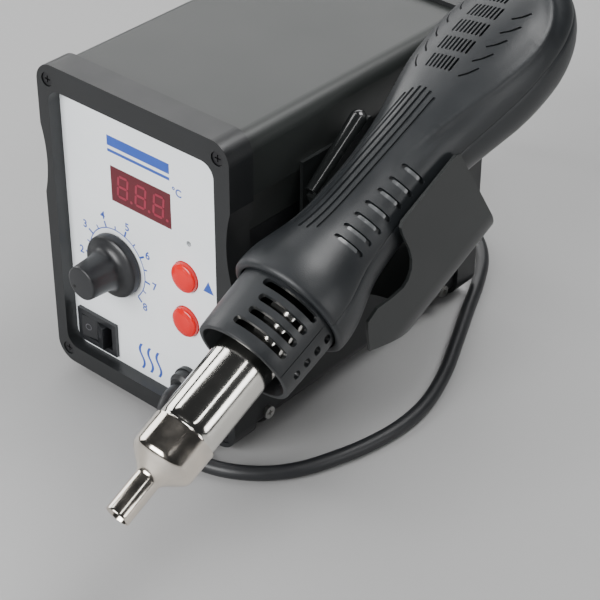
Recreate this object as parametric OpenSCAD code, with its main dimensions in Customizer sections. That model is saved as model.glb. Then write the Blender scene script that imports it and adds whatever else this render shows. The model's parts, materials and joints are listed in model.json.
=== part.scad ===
// Hot air station: a small bench unit with a front panel, a holder on its
// right-hand side and a corded handset lying in the holder.
// Millimetres. The table is z = 0 and the front faces -Y.

/* [Case] */
// Width of the bezels
case_w = 100; // [90:1:130]
// Height of the bezels
case_h = 138; // [128:1:160]
// Depth of the station over both bezels
case_d = 154; // [140:1:200]
// Height of the rubber feet
foot_h = 3; // [2:0.5:6]
// Depth of each bezel
bezel_d = 12.5; // [10:0.5:16]
// Outer corner radius of the bezels
bezel_r = 8.5; // [7:0.5:12]
// How far the sleeve of the case lies inside the bezels' outline
shell_inset = 2; // [1.5:0.25:3]
// Wall of the two case shells
shell_wall = 2; // [1.2:0.1:2.5]
// Depth of the lengthwise groove on each side
groove_depth = 2.2; // [1:0.1:2.6]
// Height of the groove's middle above the bezels' bottom edge
groove_z = 95; // [80:1:100]

/* [Front panel] */
// Bezel rim at the left and right
rim_side = 5.8; // [5:0.1:8]
// How much wider the bezels' rim is beside the handset than on the other side
rim_wider = 2; // [0:0.5:3]
// Bezel rim above the panel
rim_top = 10.5; // [8:0.5:13]
// Bezel rim below the panel
rim_bottom = 8; // [7:0.5:10]
// How deep the panel lies behind the bezel's face
panel_recess = 5.75; // [4:0.25:7]
// Thickness of the front and rear panels
panel_t = 1.6; // [1:0.1:2]
// Lap of a panel behind the bezel's window
panel_lap = 1.6; // [1:0.1:2]
// Width of the display window
display_w = 32; // [26:1:36]
// Height of the display window
display_h = 15.5; // [12:0.5:18]
// Diameter of the two push buttons
button_d = 13; // [9:0.5:14]
// Travel of the two push buttons
button_travel = 1; // [0.5:0.1:1.2]
// Diameter of the air knob's skirt
knob_skirt_d = 27; // [20:1:28]
// Diameter of the air knob's grip
knob_grip_d = 14; // [12:0.5:17]
// Height of the air knob
knob_h = 19.2; // [14:0.2:20]
// Diameter of the potentiometer shaft
shaft_d = 6; // [5:0.5:6.4]
// Width of the power switch frame
switch_w = 22; // [20:0.5:24]
// Height of the power switch frame
switch_h = 15.5; // [14:0.5:17]

/* [Handset] */
// Distance of the handset's axis to the right of the station's middle
gun_x = 79; // [79:1:84]
// Slope of the handset in its holder, in degrees
gun_pitch = 25; // [20:1:30]
// Roll of the handset about its own axis, in degrees
gun_roll = -12; // [-15:1:15]
// Outer diameter of the heater barrel
barrel_d = 23.6; // [21:0.2:24.4]
// Wall of the barrel tube
barrel_wall = 0.6; // [0.4:0.1:1]
// Inner diameter of the nozzle's outlet
outlet_d = 8.6; // [5:0.2:11]
// Wall of the nozzle
nozzle_wall = 0.6; // [0.5:0.1:0.8]
// Wall of the handle halves
handle_wall = 2.2; // [1.6:0.1:2.6]
// Outer diameter of the slotted guard at its mouth
guard_d = 39.4; // [38:0.2:40]
// Diameter of the blower wheel
wheel_d = 36; // [30:1:38]
// Diameter of the handset cord
cord_d = 6; // [5:0.5:6]

/* [Holder] */
// Clear width between the holder's arms
holder_clear = 40.4; // [39.6:0.2:42]
// Sheet thickness of the holder
holder_t = 1.2; // [1:0.1:2]
// Depth of the holder below the handset's axis, to the middle of its round floor
holder_drop = 33.5; // [24:0.5:36]
// Diameter of the rolled edge on the holder's inner arm, at its rear end
roll_d = 7; // [5:0.5:8]

/* [Hidden] */
$fn = 48;

// General clearance between pieces that are pushed together
gap = 0.1;
// Clearance round a screw's shank
screw_gap = 0.05;
// Running clearance round something that turns
run_gap = 0.06;

// Case
front_y = -case_d / 2;
rear_y = case_d / 2;
case_mid_z = foot_h + case_h / 2;
shell_lap = 4;
shell_y = front_y + bezel_d - shell_lap;
shell_len = 2 * abs(shell_y);
shell_in = shell_inset + shell_wall;
shell_half = case_w / 2 - shell_inset;
shell_floor = foot_h + shell_in;
groove_chord = 31;
groove_r = (pow(groove_chord / 2, 2) + pow(groove_depth, 2)) / (2 * groove_depth);
split_z = foot_h + groove_z;
window_w = case_w - 2 * rim_side - rim_wider;
window_x = -rim_wider / 2;
window_h = case_h - rim_top - rim_bottom;
window_z = foot_h + rim_bottom + window_h / 2;
window_r = 6;

// Corner screws of the bezels, and the bosses that take them
m3_r = 1.5;
head_r = 2.7;
head_h = 1.6;
corner_x = case_w / 2 - rim_side;
corner_low = foot_h + 5.6;
corner_high = foot_h + case_h - 6.8;
boss_r = 3;
boss_len = 9.5;
corners = [for (x = [-corner_x, corner_x], z = [corner_low, corner_high]) [x, z]];

// Screws through the sides of the tray into the chassis plate
side_screw_y = 56;
side_screw_z = foot_h + 8;
chassis_t = 1.2;
chassis_gap = 0.1;
chassis_side = 10;
chassis_len = 2 * (abs(shell_y) - boss_len) - 1;
chassis_z = shell_floor + chassis_gap;
chassis_top = chassis_z + chassis_t;

// Front panel features, as [x, height above the bezels' bottom edge]
panel_y = front_y + panel_recess;
panel_back = panel_y + panel_t;
display_at = [-2, 93.75];
up_at = [20.6, 67.6];
down_at = [20.3, 46.8];
cal_at = [22.9, 83.4];
knob_at = [-17.4, 56.9];
switch_at = [-30.5, 18];
gland_at = [21, 17.6];
board_y = panel_back + 9.6;
board_t = 1.6;
button_r = button_d / 2;
knob_gap = 0.5;
shaft_r = shaft_d / 2;
bushing_r = shaft_r + 1.5;
nut_t = 1.8;
nut_r = bushing_r + 1.6;
switch_flange = 1.6;
switch_depth = 19;
rocker_half_w = switch_w / 2 - 3.7;
rocker_hole_w = switch_w - 4.5;
rocker_half_h = switch_h / 2 - 2.65;
rocker_y = panel_y + 5;
rocker_tilt = 9;
cord_r = cord_d / 2;
gland_end = front_y - 1;
gland_r = 7;

// Rear panel features
rear_panel_y = -panel_back;
inlet_at = [-20, 34];
inlet_w = 27;
inlet_h = 32;
inlet_depth = 24;
socket_up = 5.5;
fuse_down = 11.6;

// Handset: distances run along the axis from the nozzle's outlet, +Z is its upper side
gun_tip_y = front_y - 88.8;
gun_tip_z = foot_h + 43.6;
tip_len = 17;
nozzle_len = 37;
barrel_r = barrel_d / 2;
barrel_from = 26;
barrel_to = 118;
nozzle_in = barrel_r + gap;
nozzle_out = nozzle_in + nozzle_wall;
outlet_r = outlet_d / 2;
guard_from = 70;
lip_at = 95.7;
guard_to = 104;
guard_plug_r = 20.4;
guard_wall = 2.1;
guard_slot_at = 76.2;
guard_slot_w = 3.1;
guard_pitch = 5.7;
boot_from = 262.4;
boot_to = 297;
boot_neck_r = 7;
boot_r = 9;
boot_end_r = 4.6;
fan_at = 222;

// Stations of the handle: [distance, half width, rise above axis, drop below it, squareness]
handle_stations = [
    [lip_at, 23.3, 23.3, 23.3, 2], [97, 23.9, 23.9, 23.9, 2], [102, 23.9, 23.9, 23.9, 2],
    [107, 23.2, 23.2, 23.2, 2], [112, 21.9, 21.9, 21.9, 2], [118, 20.1, 20.3, 20, 2],
    [124, 18.7, 19, 18.5, 2], [132, 17.8, 18, 17.6, 2], [142, 17.4, 17.6, 17.2, 2],
    [154, 17.4, 17.5, 17.1, 2], [166, 17.9, 17.5, 17.2, 2.1], [175, 18.8, 17.6, 17.4, 2.15],
    [182, 20, 17.8, 17.6, 2.2], [190, 21.9, 18.1, 18.2, 2.3], [198, 23.8, 18.4, 19, 2.4],
    [206, 25.5, 18.6, 19.8, 2.5], [214, 26.7, 18.6, 20.4, 2.5], [222, 27.1, 18.4, 20.7, 2.5],
    [230, 26.9, 17.9, 20.5, 2.5], [238, 25.8, 17, 19.6, 2.4], [245, 23.7, 15.8, 18, 2.3],
    [251, 20.7, 14.3, 16, 2.2], [256, 17, 12.6, 13.8, 2.1], [259.5, 13.6, 11.2, 11.8, 2],
    [262, 10.2, 9.8, 10, 2]
];

// Holder
holder_r = holder_clear / 2 + holder_t;
holder_top = 9.3;
holder_from = 106;
holder_to = 186;
roll_from = 140;
roll_len = 33.5;
roll_front_r = 2.4;
roll_z = 3.4;
roll_rise = 8.8;
bracket_t = 1.5;
bracket_y = [-37, 12];
bracket_z = [foot_h + 47, foot_h + 114];
bracket_screw_y = 5;
bracket_screw_z = [foot_h + 54, foot_h + 108];

// The frame's origin: the middle of the station with its handset, on the table
left_x = -case_w / 2;
handle_reach = 27.26;
right_x = gun_x + handle_reach;
near_y = gun_tip_y - (outlet_r + nozzle_wall) * sin(gun_pitch);
far_y = gun_tip_y + boot_to * cos(gun_pitch) + boot_end_r * sin(gun_pitch);
shift_x = -(left_x + right_x) / 2;
shift_y = -(near_y + far_y) / 2;

// Route of the handset cord, from the gland to the handset's boot, before the origin's shift
cord_z = cord_r + 0.2;
boot_end = [gun_x, gun_tip_y + boot_to * cos(gun_pitch), gun_tip_z + boot_to * sin(gun_pitch)];
cord_route = [
    [gland_at[0], gland_end, foot_h + gland_at[1]], [21.5, -83.5, 20.2], [23.6, -88.4, 18], [27.6, -91.6, 14],
    [33, -92.6, 9.4], [39.6, -91.6, 5.4], [46.8, -89.2, cord_z], [57, -85, cord_z], [67, -77.5, cord_z],
    [75, -67, cord_z],
    [80.5, -54, cord_z], [85, -39, cord_z], [87.5, -21, cord_z], [86, -2.5, cord_z], [79.5, 18, cord_z],
    [70, 38.5, cord_z], [59.5, 60, cord_z], [49, 82, cord_z], [38.5, 99, cord_z], [24, 112, cord_z],
    [6, 119.5, cord_z], [-12, 124, cord_z], [-29, 130, cord_z], [-42, 140, cord_z], [-49, 153, 4.5],
    [-49.5, 166, 11], [-45.5, 175, 24], [-38, 179.5, 41], [-30, 180, 59], [-21.5, 178.5, 77],
    [-12, 176, 95], [-1, 172.5, 112], [11, 168, 128], [24, 162.5, 143], [38, 155, 157], [51, 147.5, 169],
    [63, 139.5, 177.5], [72.5, 130, 181], [77.8, 121, 179.8], [79, 112.5, 176.3], boot_end
];

// ---------------------------------------------------------------- shared shapes

// Puts a station piece into the shared frame
module station() translate([shift_x, shift_y, 0]) children();

// Puts a piece of the holder, made along the handset's axis, into the shared frame
module sloped() station() translate([gun_x, gun_tip_y, gun_tip_z]) rotate([gun_pitch, 0, 0]) children();

// Puts a handset piece into the shared frame
module handset() sloped() rotate([0, gun_roll, 0]) children();

// A 2D outline in X and Z, extruded along Y from y0
module along_y(y0, len) translate([0, y0 + len, 0]) rotate([90, 0, 0]) linear_extrude(len) children();

// A round bar along Y
module bar_y(x, z, y0, len, r) translate([x, y0 + len, z]) rotate([90, 0, 0]) cylinder(h = len, r = r);

// A box given by its middle in X and Z, and its range in Y
module box_y(x, z, y0, len, w, h) translate([x - w / 2, y0, z - h / 2]) cube([w, len, h]);

// A profile of [radius, distance] points turned round the Y axis
module turn_y() rotate([-90, 0, 0]) rotate_extrude() children();

// A rectangle with round corners
module rounded(w, h, r) {
    square([w - 2 * r, h], center = true);
    square([w, h - 2 * r], center = true);
    for (x = [-1, 1], y = [-1, 1]) translate([x * (w / 2 - r), y * (h / 2 - r)]) circle(r);
}

// The bezels' outline with its side grooves, set in by a distance
module case_outline(inset) difference() {
    translate([0, case_mid_z]) rounded(case_w - 2 * inset, case_h - 2 * inset, bezel_r - inset);
    for (s = [-1, 1]) translate([s * (case_w / 2 + groove_r - groove_depth), split_z])
        circle(groove_r + inset, $fn = 160);
}

// The window in a bezel, made larger all round by a lap
module window_outline(lap) translate([window_x, window_z])
    rounded(window_w + 2 * lap, window_h + 2 * lap, window_r + lap);

// A pan-head screw: the head's top is at z = 0 and the shank points down
module screw(len, r = m3_r, hr = head_r, hh = head_h) {
    difference() {
        translate([0, 0, -hh]) cylinder(h = hh, r = hr);
        for (a = [0, 90]) rotate(a) translate([-hr * 0.55, -hr * 0.11, -hh * 0.6])
            cube([hr * 1.1, hr * 0.22, hh]);
    }
    translate([0, 0, -hh - len]) cylinder(h = len, r = r);
}

// ---------------------------------------------------------------- case

// A bezel as it stands at the front
module bezel() difference() {
    along_y(front_y, bezel_d) case_outline(0);
    along_y(front_y - 1, bezel_d + 2) window_outline(0);
    along_y(panel_y, bezel_d) window_outline(panel_lap);
    along_y(shell_y, shell_lap + 1) case_outline(shell_inset - gap);
    for (c = corners) {
        bar_y(c[0], c[1], front_y - 1, bezel_d + 2, m3_r + 0.15);
        bar_y(c[0], c[1], front_y - 1, head_h + 1.5, head_r + 0.2);
    }
}

module front_bezel() color("#2c2e2f") station() bezel();

module rear_bezel() color("#2c2e2f") station() rotate(180) bezel();

// The full tube of the case, before it is parted into cover and tray
module sleeve() difference() {
    union() {
        difference() {
            along_y(shell_y, shell_len) case_outline(shell_inset);
            along_y(shell_y - 1, shell_len + 2) case_outline(shell_in);
        }
        for (c = corners, y0 = [shell_y, -shell_y - boss_len]) intersection() {
            bar_y(c[0], c[1], y0, boss_len, boss_r);
            along_y(shell_y, shell_len) case_outline(shell_inset + 0.5);
        }
    }
    for (c = corners, y0 = [shell_y, -shell_y - boss_len])
        bar_y(c[0], c[1], y0 - 1, boss_len + 2, m3_r + screw_gap);
}

module top_cover() color("#3b3e3f") station() difference() {
    sleeve();
    translate([-case_w, -case_d, 0]) cube([2 * case_w, 2 * case_d, split_z + gap]);
    translate([0, bracket_screw_y, bracket_screw_z[1]]) rotate([0, 90, 0])
        cylinder(h = case_w, r = m3_r + screw_gap);
}

module base_tray() color("#1d1f20") station() difference() {
    sleeve();
    translate([-case_w, -case_d, split_z - gap]) cube([2 * case_w, 2 * case_d, case_h]);
    // air slots under the board
    for (i = [-3:3]) translate([-16, -28 + i * 6, foot_h]) cube([32, 2.4, shell_in + 1]);
    // holes for the feet, the side screws and the holder's lower screw
    for (x = [-1, 1], y = [-1, 1]) {
        translate([x * 36, y * 50, 0]) cylinder(h = 20, r = m3_r + screw_gap);
        translate([x * (shell_half + 1), y * side_screw_y, side_screw_z]) rotate([0, -90 * x, 0])
            cylinder(h = 6, r = m3_r + screw_gap);
    }
    translate([0, bracket_screw_y, bracket_screw_z[0]]) rotate([0, 90, 0])
        cylinder(h = case_w, r = m3_r + screw_gap);
}

module chassis_plate() color("#b9bcbe") station() difference() {
    intersection() {
        translate([-case_w / 2, -chassis_len / 2, 0]) cube([case_w, chassis_len, chassis_z + chassis_side]);
        difference() {
            along_y(-chassis_len / 2, chassis_len) case_outline(shell_in + chassis_gap);
            along_y(-case_d, 2 * case_d) case_outline(shell_in + chassis_gap + chassis_t);
        }
    }
    for (i = [-3:3]) translate([-16, -28 + i * 6, chassis_z - 1]) cube([32, 2.4, chassis_t + 2]);
    for (x = [-1, 1], y = [-1, 1]) {
        translate([x * 36, y * 50, 0]) cylinder(h = 20, r = m3_r + screw_gap);
        translate([x * (shell_half + 1), y * side_screw_y, side_screw_z]) rotate([0, -90 * x, 0])
            cylinder(h = 6, r = m3_r + screw_gap);
    }
}

module feet() color("#101011") station() for (x = [-1, 1], y = [-1, 1]) translate([x * 36, y * 50, 0])
    difference() {
        union() {
            cylinder(h = foot_h, r1 = 6, r2 = 6.6);
            translate([0, 0, foot_h - 1]) cylinder(h = shell_inset + 1, r = 6.6);
        }
        translate([0, 0, -1]) cylinder(h = 3, r = 3.4);
        cylinder(h = 10, r = m3_r + screw_gap);
    }

module feet_screws() color("#c9c9c6") station() for (x = [-1, 1], y = [-1, 1])
    translate([x * 36, y * 50, 2 - head_h]) rotate([180, 0, 0]) screw(foot_h + shell_in + 1, hr = 3);

module bezel_screws() for (c = corners) translate([c[0], front_y + 0.5, c[1]]) rotate([90, 0, 0])
    screw(bezel_d + 3.4);

module front_bezel_screws() color("#17181a") station() bezel_screws();

module rear_bezel_screws() color("#17181a") station() rotate(180) bezel_screws();

module side_screws() color("#d6d3cb") station() for (x = [-1, 1], y = [-1, 1])
    translate([x * (shell_half + head_h), y * side_screw_y, side_screw_z]) rotate([0, 90 * x, 0]) screw(5);

// ---------------------------------------------------------------- front panel

module front_panel() color("#e6eaee") station() difference() {
    along_y(panel_y, panel_t) window_outline(panel_lap - 0.2);
    box_y(display_at[0], foot_h + display_at[1], panel_y - 1, panel_t + 2, display_w + gap, display_h + gap);
    bar_y(knob_at[0], foot_h + knob_at[1], panel_y - 1, panel_t + 2, bushing_r + gap);
    bar_y(up_at[0], foot_h + up_at[1], panel_y - 1, panel_t + 2, button_r + 0.15);
    bar_y(down_at[0], foot_h + down_at[1], panel_y - 1, panel_t + 2, button_r + 0.15);
    bar_y(cal_at[0], foot_h + cal_at[1], panel_y - 1, panel_t + 2, 1.2);
    bar_y(gland_at[0], foot_h + gland_at[1], panel_y - 1, panel_t + 2, gland_r - 1.9);
    box_y(switch_at[0], foot_h + switch_at[1], panel_y - 1, panel_t + 2, switch_w - 2.6, switch_h - 2.6);
}

module display_window() color("#5a0b16") station() {
    box_y(display_at[0], foot_h + display_at[1], panel_y - 0.1, panel_t + 0.1, display_w, display_h);
    box_y(display_at[0], foot_h + display_at[1], panel_back, 1.3, display_w + 3, display_h + 3);
}

module display_module() color("#d8d6cf") station() {
    box_y(display_at[0], foot_h + display_at[1], panel_back + 1.4, board_y - panel_back - 1.4,
        display_w - 2, display_h - 1.5);
}

module control_board() color("#1f6b3a") station() difference() {
    translate([-36, board_y, foot_h + 34]) cube([72, board_t, 84]);
    for (x = [-32, 32], z = [39, 113]) bar_y(x, foot_h + z, board_y - 1, board_t + 2, 1.3);
}

module board_posts() color("#c8c6bd") station() for (x = [-32, 32], z = [39, 113]) {
    bar_y(x, foot_h + z, panel_back, board_y - panel_back, 2.6);
    bar_y(x, foot_h + z, board_y, board_t + 1.2, 1.2);
}

// A domed push button with a flange behind the panel and a stem to its switch
module button(at) station() translate([at[0], 0, foot_h + at[1]]) {
    dome_r = (pow(button_r, 2) + 9) / 6;
    intersection() {
        translate([0, panel_y - 1.2 - 3 + dome_r, 0]) sphere(r = dome_r, $fn = 64);
        bar_y(0, 0, panel_y - 5, panel_t + 5 + 2 * gap, button_r);
    }
    bar_y(0, 0, panel_back + gap, 1, button_r + 1);
    bar_y(0, 0, panel_back + gap + 1, board_y - panel_back - 4 - button_travel - 1.3, 2);
}

module up_button() color("#e8231f") button(up_at);

module down_button() color("#e8231f") button(down_at);

module tact_switches() color("#26282a") station() for (at = [up_at, down_at])
    box_y(at[0], foot_h + at[1], board_y - 3.6, 3.6, 6, 6);

module cal_trimmer() color("#2a5fa8") station() difference() {
    box_y(cal_at[0], foot_h + cal_at[1], board_y - 4.5, 4.5, 6.6, 6.6);
    bar_y(cal_at[0], foot_h + cal_at[1], board_y - 5, 3, 2 + run_gap);
}

module cal_trimmer_rotor() color("#e8e2d2") station() difference() {
    bar_y(cal_at[0], foot_h + cal_at[1], board_y - 4.9, 2.8, 2);
    box_y(cal_at[0], foot_h + cal_at[1], board_y - 5, 0.9, 3, 0.6);
}

// The knob, made along Z with its back at z = 0
module knob_shape() {
    grip_r = knob_grip_d / 2;
    skirt_r = knob_skirt_d / 2;
    difference() {
        rotate_extrude($fn = 96) polygon([
            [0, 0], [skirt_r, 0], [skirt_r, 2.6], [skirt_r - 1.2, 4.6], [grip_r + 1.4, 6.6], [grip_r + 0.5, 8],
            [grip_r, knob_h - 0.6], [grip_r - 0.6, knob_h], [0, knob_h]]);
        translate([0, 0, -1]) cylinder(h = nut_t + 2.6, r = nut_r + 0.6);
        cylinder(h = knob_h - 2.5, r = shaft_r + 0.02);
    }
}

module air_knob() color("#1b1c1e") station()
    translate([knob_at[0], panel_y - knob_gap, foot_h + knob_at[1]]) rotate([90, 0, 0]) knob_shape();

module pot_shaft() color("#cfcfcb") station() bar_y(knob_at[0], foot_h + knob_at[1], panel_y - knob_gap - knob_h + 2.7,
    knob_h + knob_gap - 2.7 + 7, shaft_r);

module pot_body() color("#8d9093") station() difference() {
    union() {
        bar_y(knob_at[0], foot_h + knob_at[1], panel_back, board_y - panel_back, 8.2);
        bar_y(knob_at[0], foot_h + knob_at[1], panel_y - knob_gap - nut_t - 0.6, panel_t + knob_gap + nut_t + 1.6,
            bushing_r);
    }
    bar_y(knob_at[0], foot_h + knob_at[1], panel_y - 10, 17.1, shaft_r + run_gap);
}

module pot_nut() color("#c9c9c6") station() difference() {
    bar_y(knob_at[0], foot_h + knob_at[1], panel_y - nut_t, nut_t, nut_r);
    bar_y(knob_at[0], foot_h + knob_at[1], panel_y - nut_t - 1, nut_t + 2, bushing_r + screw_gap);
}

module switch_frame() color("#141517") station() translate([switch_at[0], 0, foot_h + switch_at[1]]) difference() {
    union() {
        box_y(0, 0, panel_y - switch_flange, switch_flange, switch_w, switch_h);
        box_y(0, 0, panel_y, switch_depth, switch_w - 2.8, switch_h - 2.8);
        for (x = [-5, 0, 5]) box_y(x, 0, panel_y + switch_depth, 6, 0.8, 4.8);
    }
    box_y(0, 0, panel_y - switch_flange - 1, 14, rocker_hole_w, 2 * rocker_half_h + 0.4);
    translate([0, rocker_y, 0]) cylinder(h = switch_h - 3.6, r = 1.25 + run_gap, center = true);
}

// The rocker, tilted so that its left side is pressed in
module switch_rocker() color("#2a2c2f") station() translate([switch_at[0], rocker_y, foot_h + switch_at[1]])
    rotate([0, 0, -rocker_tilt]) {
        translate([0, 0, -rocker_half_h]) linear_extrude(2 * rocker_half_h) polygon([
            [-rocker_half_w, -8.2], [0, -5.9], [rocker_half_w, -8.2], [rocker_half_w - 0.6, -2.6],
            [2.6, 2.4], [-2.6, 2.4], [0.6 - rocker_half_w, -2.6]]);
        cylinder(h = switch_h - 4, r = 1.25, center = true);
    }

module cord_gland() color("#131416") station() translate([gland_at[0], 0, foot_h + gland_at[1]]) difference() {
    union() {
        bar_y(0, 0, panel_y - 2, 2, gland_r);
        translate([0, gland_end, 0]) turn_y() polygon([[0, 0], [4.6, 0], [6.1, 1.5], [6.4, 4.8], [0, 4.8]]);
        bar_y(0, 0, panel_y - 0.1, 9, gland_r - 2);
    }
    bar_y(0, 0, gland_end + 5, 30, cord_r - 0.6);
}

module gland_nut() color("#131416") station() difference() {
    bar_y(gland_at[0], foot_h + gland_at[1], panel_back, 4, gland_r + 1);
    bar_y(gland_at[0], foot_h + gland_at[1], panel_back - 1, 6, gland_r - 2 + screw_gap);
}

// ---------------------------------------------------------------- rear panel

module rear_panel() color("#23262a") station() difference() {
    along_y(rear_panel_y, panel_t) mirror([1, 0]) window_outline(panel_lap - 0.2);
    box_y(inlet_at[0], foot_h + inlet_at[1], rear_panel_y - 1, panel_t + 2, inlet_w + gap, inlet_h + gap);
    for (i = [0:8]) translate([-24 + i * 6 - 1.2, rear_panel_y - 1, foot_h + 74]) cube([2.4, panel_t + 2, 34]);
}

module mains_inlet() color("#101113") station() translate([inlet_at[0], 0, foot_h + inlet_at[1]]) {
    face_y = rear_panel_y + panel_t;
    difference() {
        union() {
            box_y(0, 0, face_y, 2.4, inlet_w + 4, inlet_h + 4);
            box_y(0, 0, face_y - inlet_depth, inlet_depth, inlet_w, inlet_h);
        }
        // the socket with its two cut corners
        translate([0, face_y + 3.4, socket_up]) rotate([90, 0, 0]) linear_extrude(17 + 1)
            polygon([[-11.8, -7.8], [11.8, -7.8], [11.8, 3.6], [7.6, 7.8], [-7.6, 7.8], [-11.8, 3.6]]);
        box_y(0, -fuse_down, face_y - 17, 30, 22.2, 7.2);
        for (p = [[-7, -1.6], [7, -1.6], [0, 2.4]])
            box_y(p[0], socket_up + p[1], face_y - inlet_depth - 1, inlet_depth, 2 + 2 * gap, 4 + 2 * gap);
    }
}

module inlet_pins() color("#d8d3c4") station() translate([inlet_at[0], 0, foot_h + inlet_at[1]])
    for (p = [[-7, -1.6], [7, -1.6], [0, 2.4]])
        box_y(p[0], socket_up + p[1], rear_panel_y + panel_t - inlet_depth - 6, inlet_depth + 4, 2, 4);

module fuse_drawer() color("#1c1e20") station() translate([inlet_at[0], 0, foot_h + inlet_at[1] - fuse_down])
    difference() {
        face_y = rear_panel_y + panel_t;
        union() {
            box_y(0, 0, face_y - 16.8, 19.6, 22, 7);
            box_y(0, 0, face_y + 2.5, 1.6, 24, 8.6);
        }
        box_y(0, 2, face_y - 15, 13, 20.4, 8.4);
        box_y(0, -4.3, face_y + 3.4, 2, 8, 2);
    }

module fuse() color("#c8c2a8") station() translate([inlet_at[0], 0, foot_h + inlet_at[1] - fuse_down]) {
    y0 = rear_panel_y + panel_t - 8.5;
    translate([-10, y0, 0.5]) rotate([0, 90, 0]) cylinder(h = 20, r = 2.5);
}

// ---------------------------------------------------------------- inside the case

module transformer_core() color("#6b6e70") station() difference() {
    translate([-24, 12, chassis_top]) cube([48, 22, 40]);
    for (x = [-1, 1]) translate([x > 0 ? 8 : -16, 11, chassis_top + 8]) cube([8, 24, 24]);
}

module transformer_coil() color("#b5702c") station() difference() {
    translate([-15.8, 5, chassis_top + 8.2]) cube([31.6, 36, 23.6]);
    translate([-8.2, 11.8, chassis_top + 7]) cube([16.4, 22.4, 26]);
}

module power_board() color("#2b7a44") station() difference() {
    translate([-40, -50, chassis_top + 8]) cube([80, 48, 1.6]);
    for (x = [-35, 35], y = [-42, -10]) translate([x, y, chassis_top + 7]) cylinder(h = 4, r = 1.5);
}

module board_standoffs() color("#c8c6bd") station() for (x = [-35, 35], y = [-42, -10]) translate([x, y, chassis_top]) {
    cylinder(h = 8, r = 3);
    cylinder(h = 10.6, r = 1.4);
}

module triac_heatsink() color("#a9adb0") station() translate([-30, -26, chassis_top + 9.6]) {
    cube([26, 2.4, 30]);
    for (i = [0:5]) translate([i * 4.8, 2.3, 0]) cube([1.6, 10, 30]);
}

module capacitors() color("#23324f") station() for (p = [[12, -34, 6, 22], [28, -34, 6, 22], [14, -14, 4, 12]])
    translate([p[0], p[1], chassis_top + 9.6]) cylinder(h = p[3], r = p[2]);

// ---------------------------------------------------------------- holder

// Cross-section of the holder: two arms and a round floor
module holder_section() difference() {
    union() {
        translate([0, -holder_drop]) circle(holder_r);
        translate([-holder_r, -holder_drop]) square([2 * holder_r, holder_drop + holder_top]);
    }
    translate([0, -holder_drop]) circle(holder_r - holder_t);
    translate([-holder_r + holder_t, -holder_drop]) square([2 * (holder_r - holder_t), holder_drop + 20]);
}

// Side view of the holder: the front edge swings back to clear the handset's bell
module holder_side() translate([-50, 0, 0]) rotate([90, 0, 90]) linear_extrude(100)
    polygon([[holder_from + 0.5, -27], [109.5, -17.5], [111, -14], [117, -13.2], [125, -16.5], [131, -18.2],
        [134.5, -17.4], [137.6, -14.6], [139.4, -10.5], [140, -5], [139.6, 4], [139.9, 7.6], [141.5, holder_top],
        [174.5, holder_top], [176.5, 8], [183, -45], [184.5, -57], [144, -57], [130, -45]]);

// Turns the rolled edge's own Z axis along the inner arm's sloping top
module along_roll() translate([-holder_r + holder_t - roll_front_r, roll_from, roll_z])
    rotate([roll_rise - 90, 0, 0]) rotate([0, -atan((roll_d / 2 - roll_front_r) / roll_len), 0]) children();

module cradle() color("#202224") sloped() {
    difference() {
        intersection() {
            along_y(holder_from, holder_to - holder_from) holder_section();
            holder_side();
        }
        // the inner arm's top slopes with its rolled edge
        translate([-holder_r - 1, roll_from, roll_z]) rotate([roll_rise, 0, 0])
            translate([0, -10, 0]) cube([holder_r, 60, 20]);
    }
    along_roll() {
        cylinder(h = roll_len, r1 = roll_front_r, r2 = roll_d / 2);
        translate([0, 0, roll_len]) sphere(r = roll_d / 2);
    }
}

module cradle_bracket() color("#202224") difference() {
    union() {
        station() translate([shell_half, bracket_y[0], bracket_z[0]])
            cube([bracket_t, bracket_y[1] - bracket_y[0], bracket_z[1] - bracket_z[0]]);
        sloped() difference() {
            reach = gun_x - shell_half - bracket_t - holder_r;
            translate([-holder_r - reach - 0.01, 142, -27]) cube([reach + 0.01, 26, 22]);
            translate([-holder_r - reach - 1, 144, -25]) cube([reach + 2, 22, 18]);
        }
    }
    station() for (z = bracket_screw_z) translate([0, bracket_screw_y, z]) rotate([0, 90, 0])
        cylinder(h = case_w, r = m3_r + screw_gap);
}

module cradle_screws() color("#d6d3cb") station() for (z = bracket_screw_z)
    translate([shell_half + bracket_t + head_h, bracket_screw_y, z]) rotate([0, 90, 0]) screw(7);

module cradle_magnet() color("#b8bcc0") sloped() translate([-holder_r, 155, -16]) rotate([0, -90, 0])
    cylinder(h = 3, r = 6);

// ---------------------------------------------------------------- handset

// A point on a handle station's outline, drawn in by a wall
function on_outline(st, wall, a) = let (
    e = 2 / st[4],
    c = cos(a),
    s = sin(a),
    w = st[1] - wall,
    h = (s >= 0 ? st[2] : st[3]) - wall)
    [w * sign(c) * pow(abs(c), e), h * sign(s) * pow(abs(s), e)];

// Inner outline: round where the guard plugs in and where the boot's neck passes, else one wall in
function inner_wall(st) = st[0] < 103 ? st[1] - guard_plug_r - 0.2
    : st[0] > boot_from - 6 ? min(handle_wall, st[1] - boot_neck_r - 0.3) : handle_wall;

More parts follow.
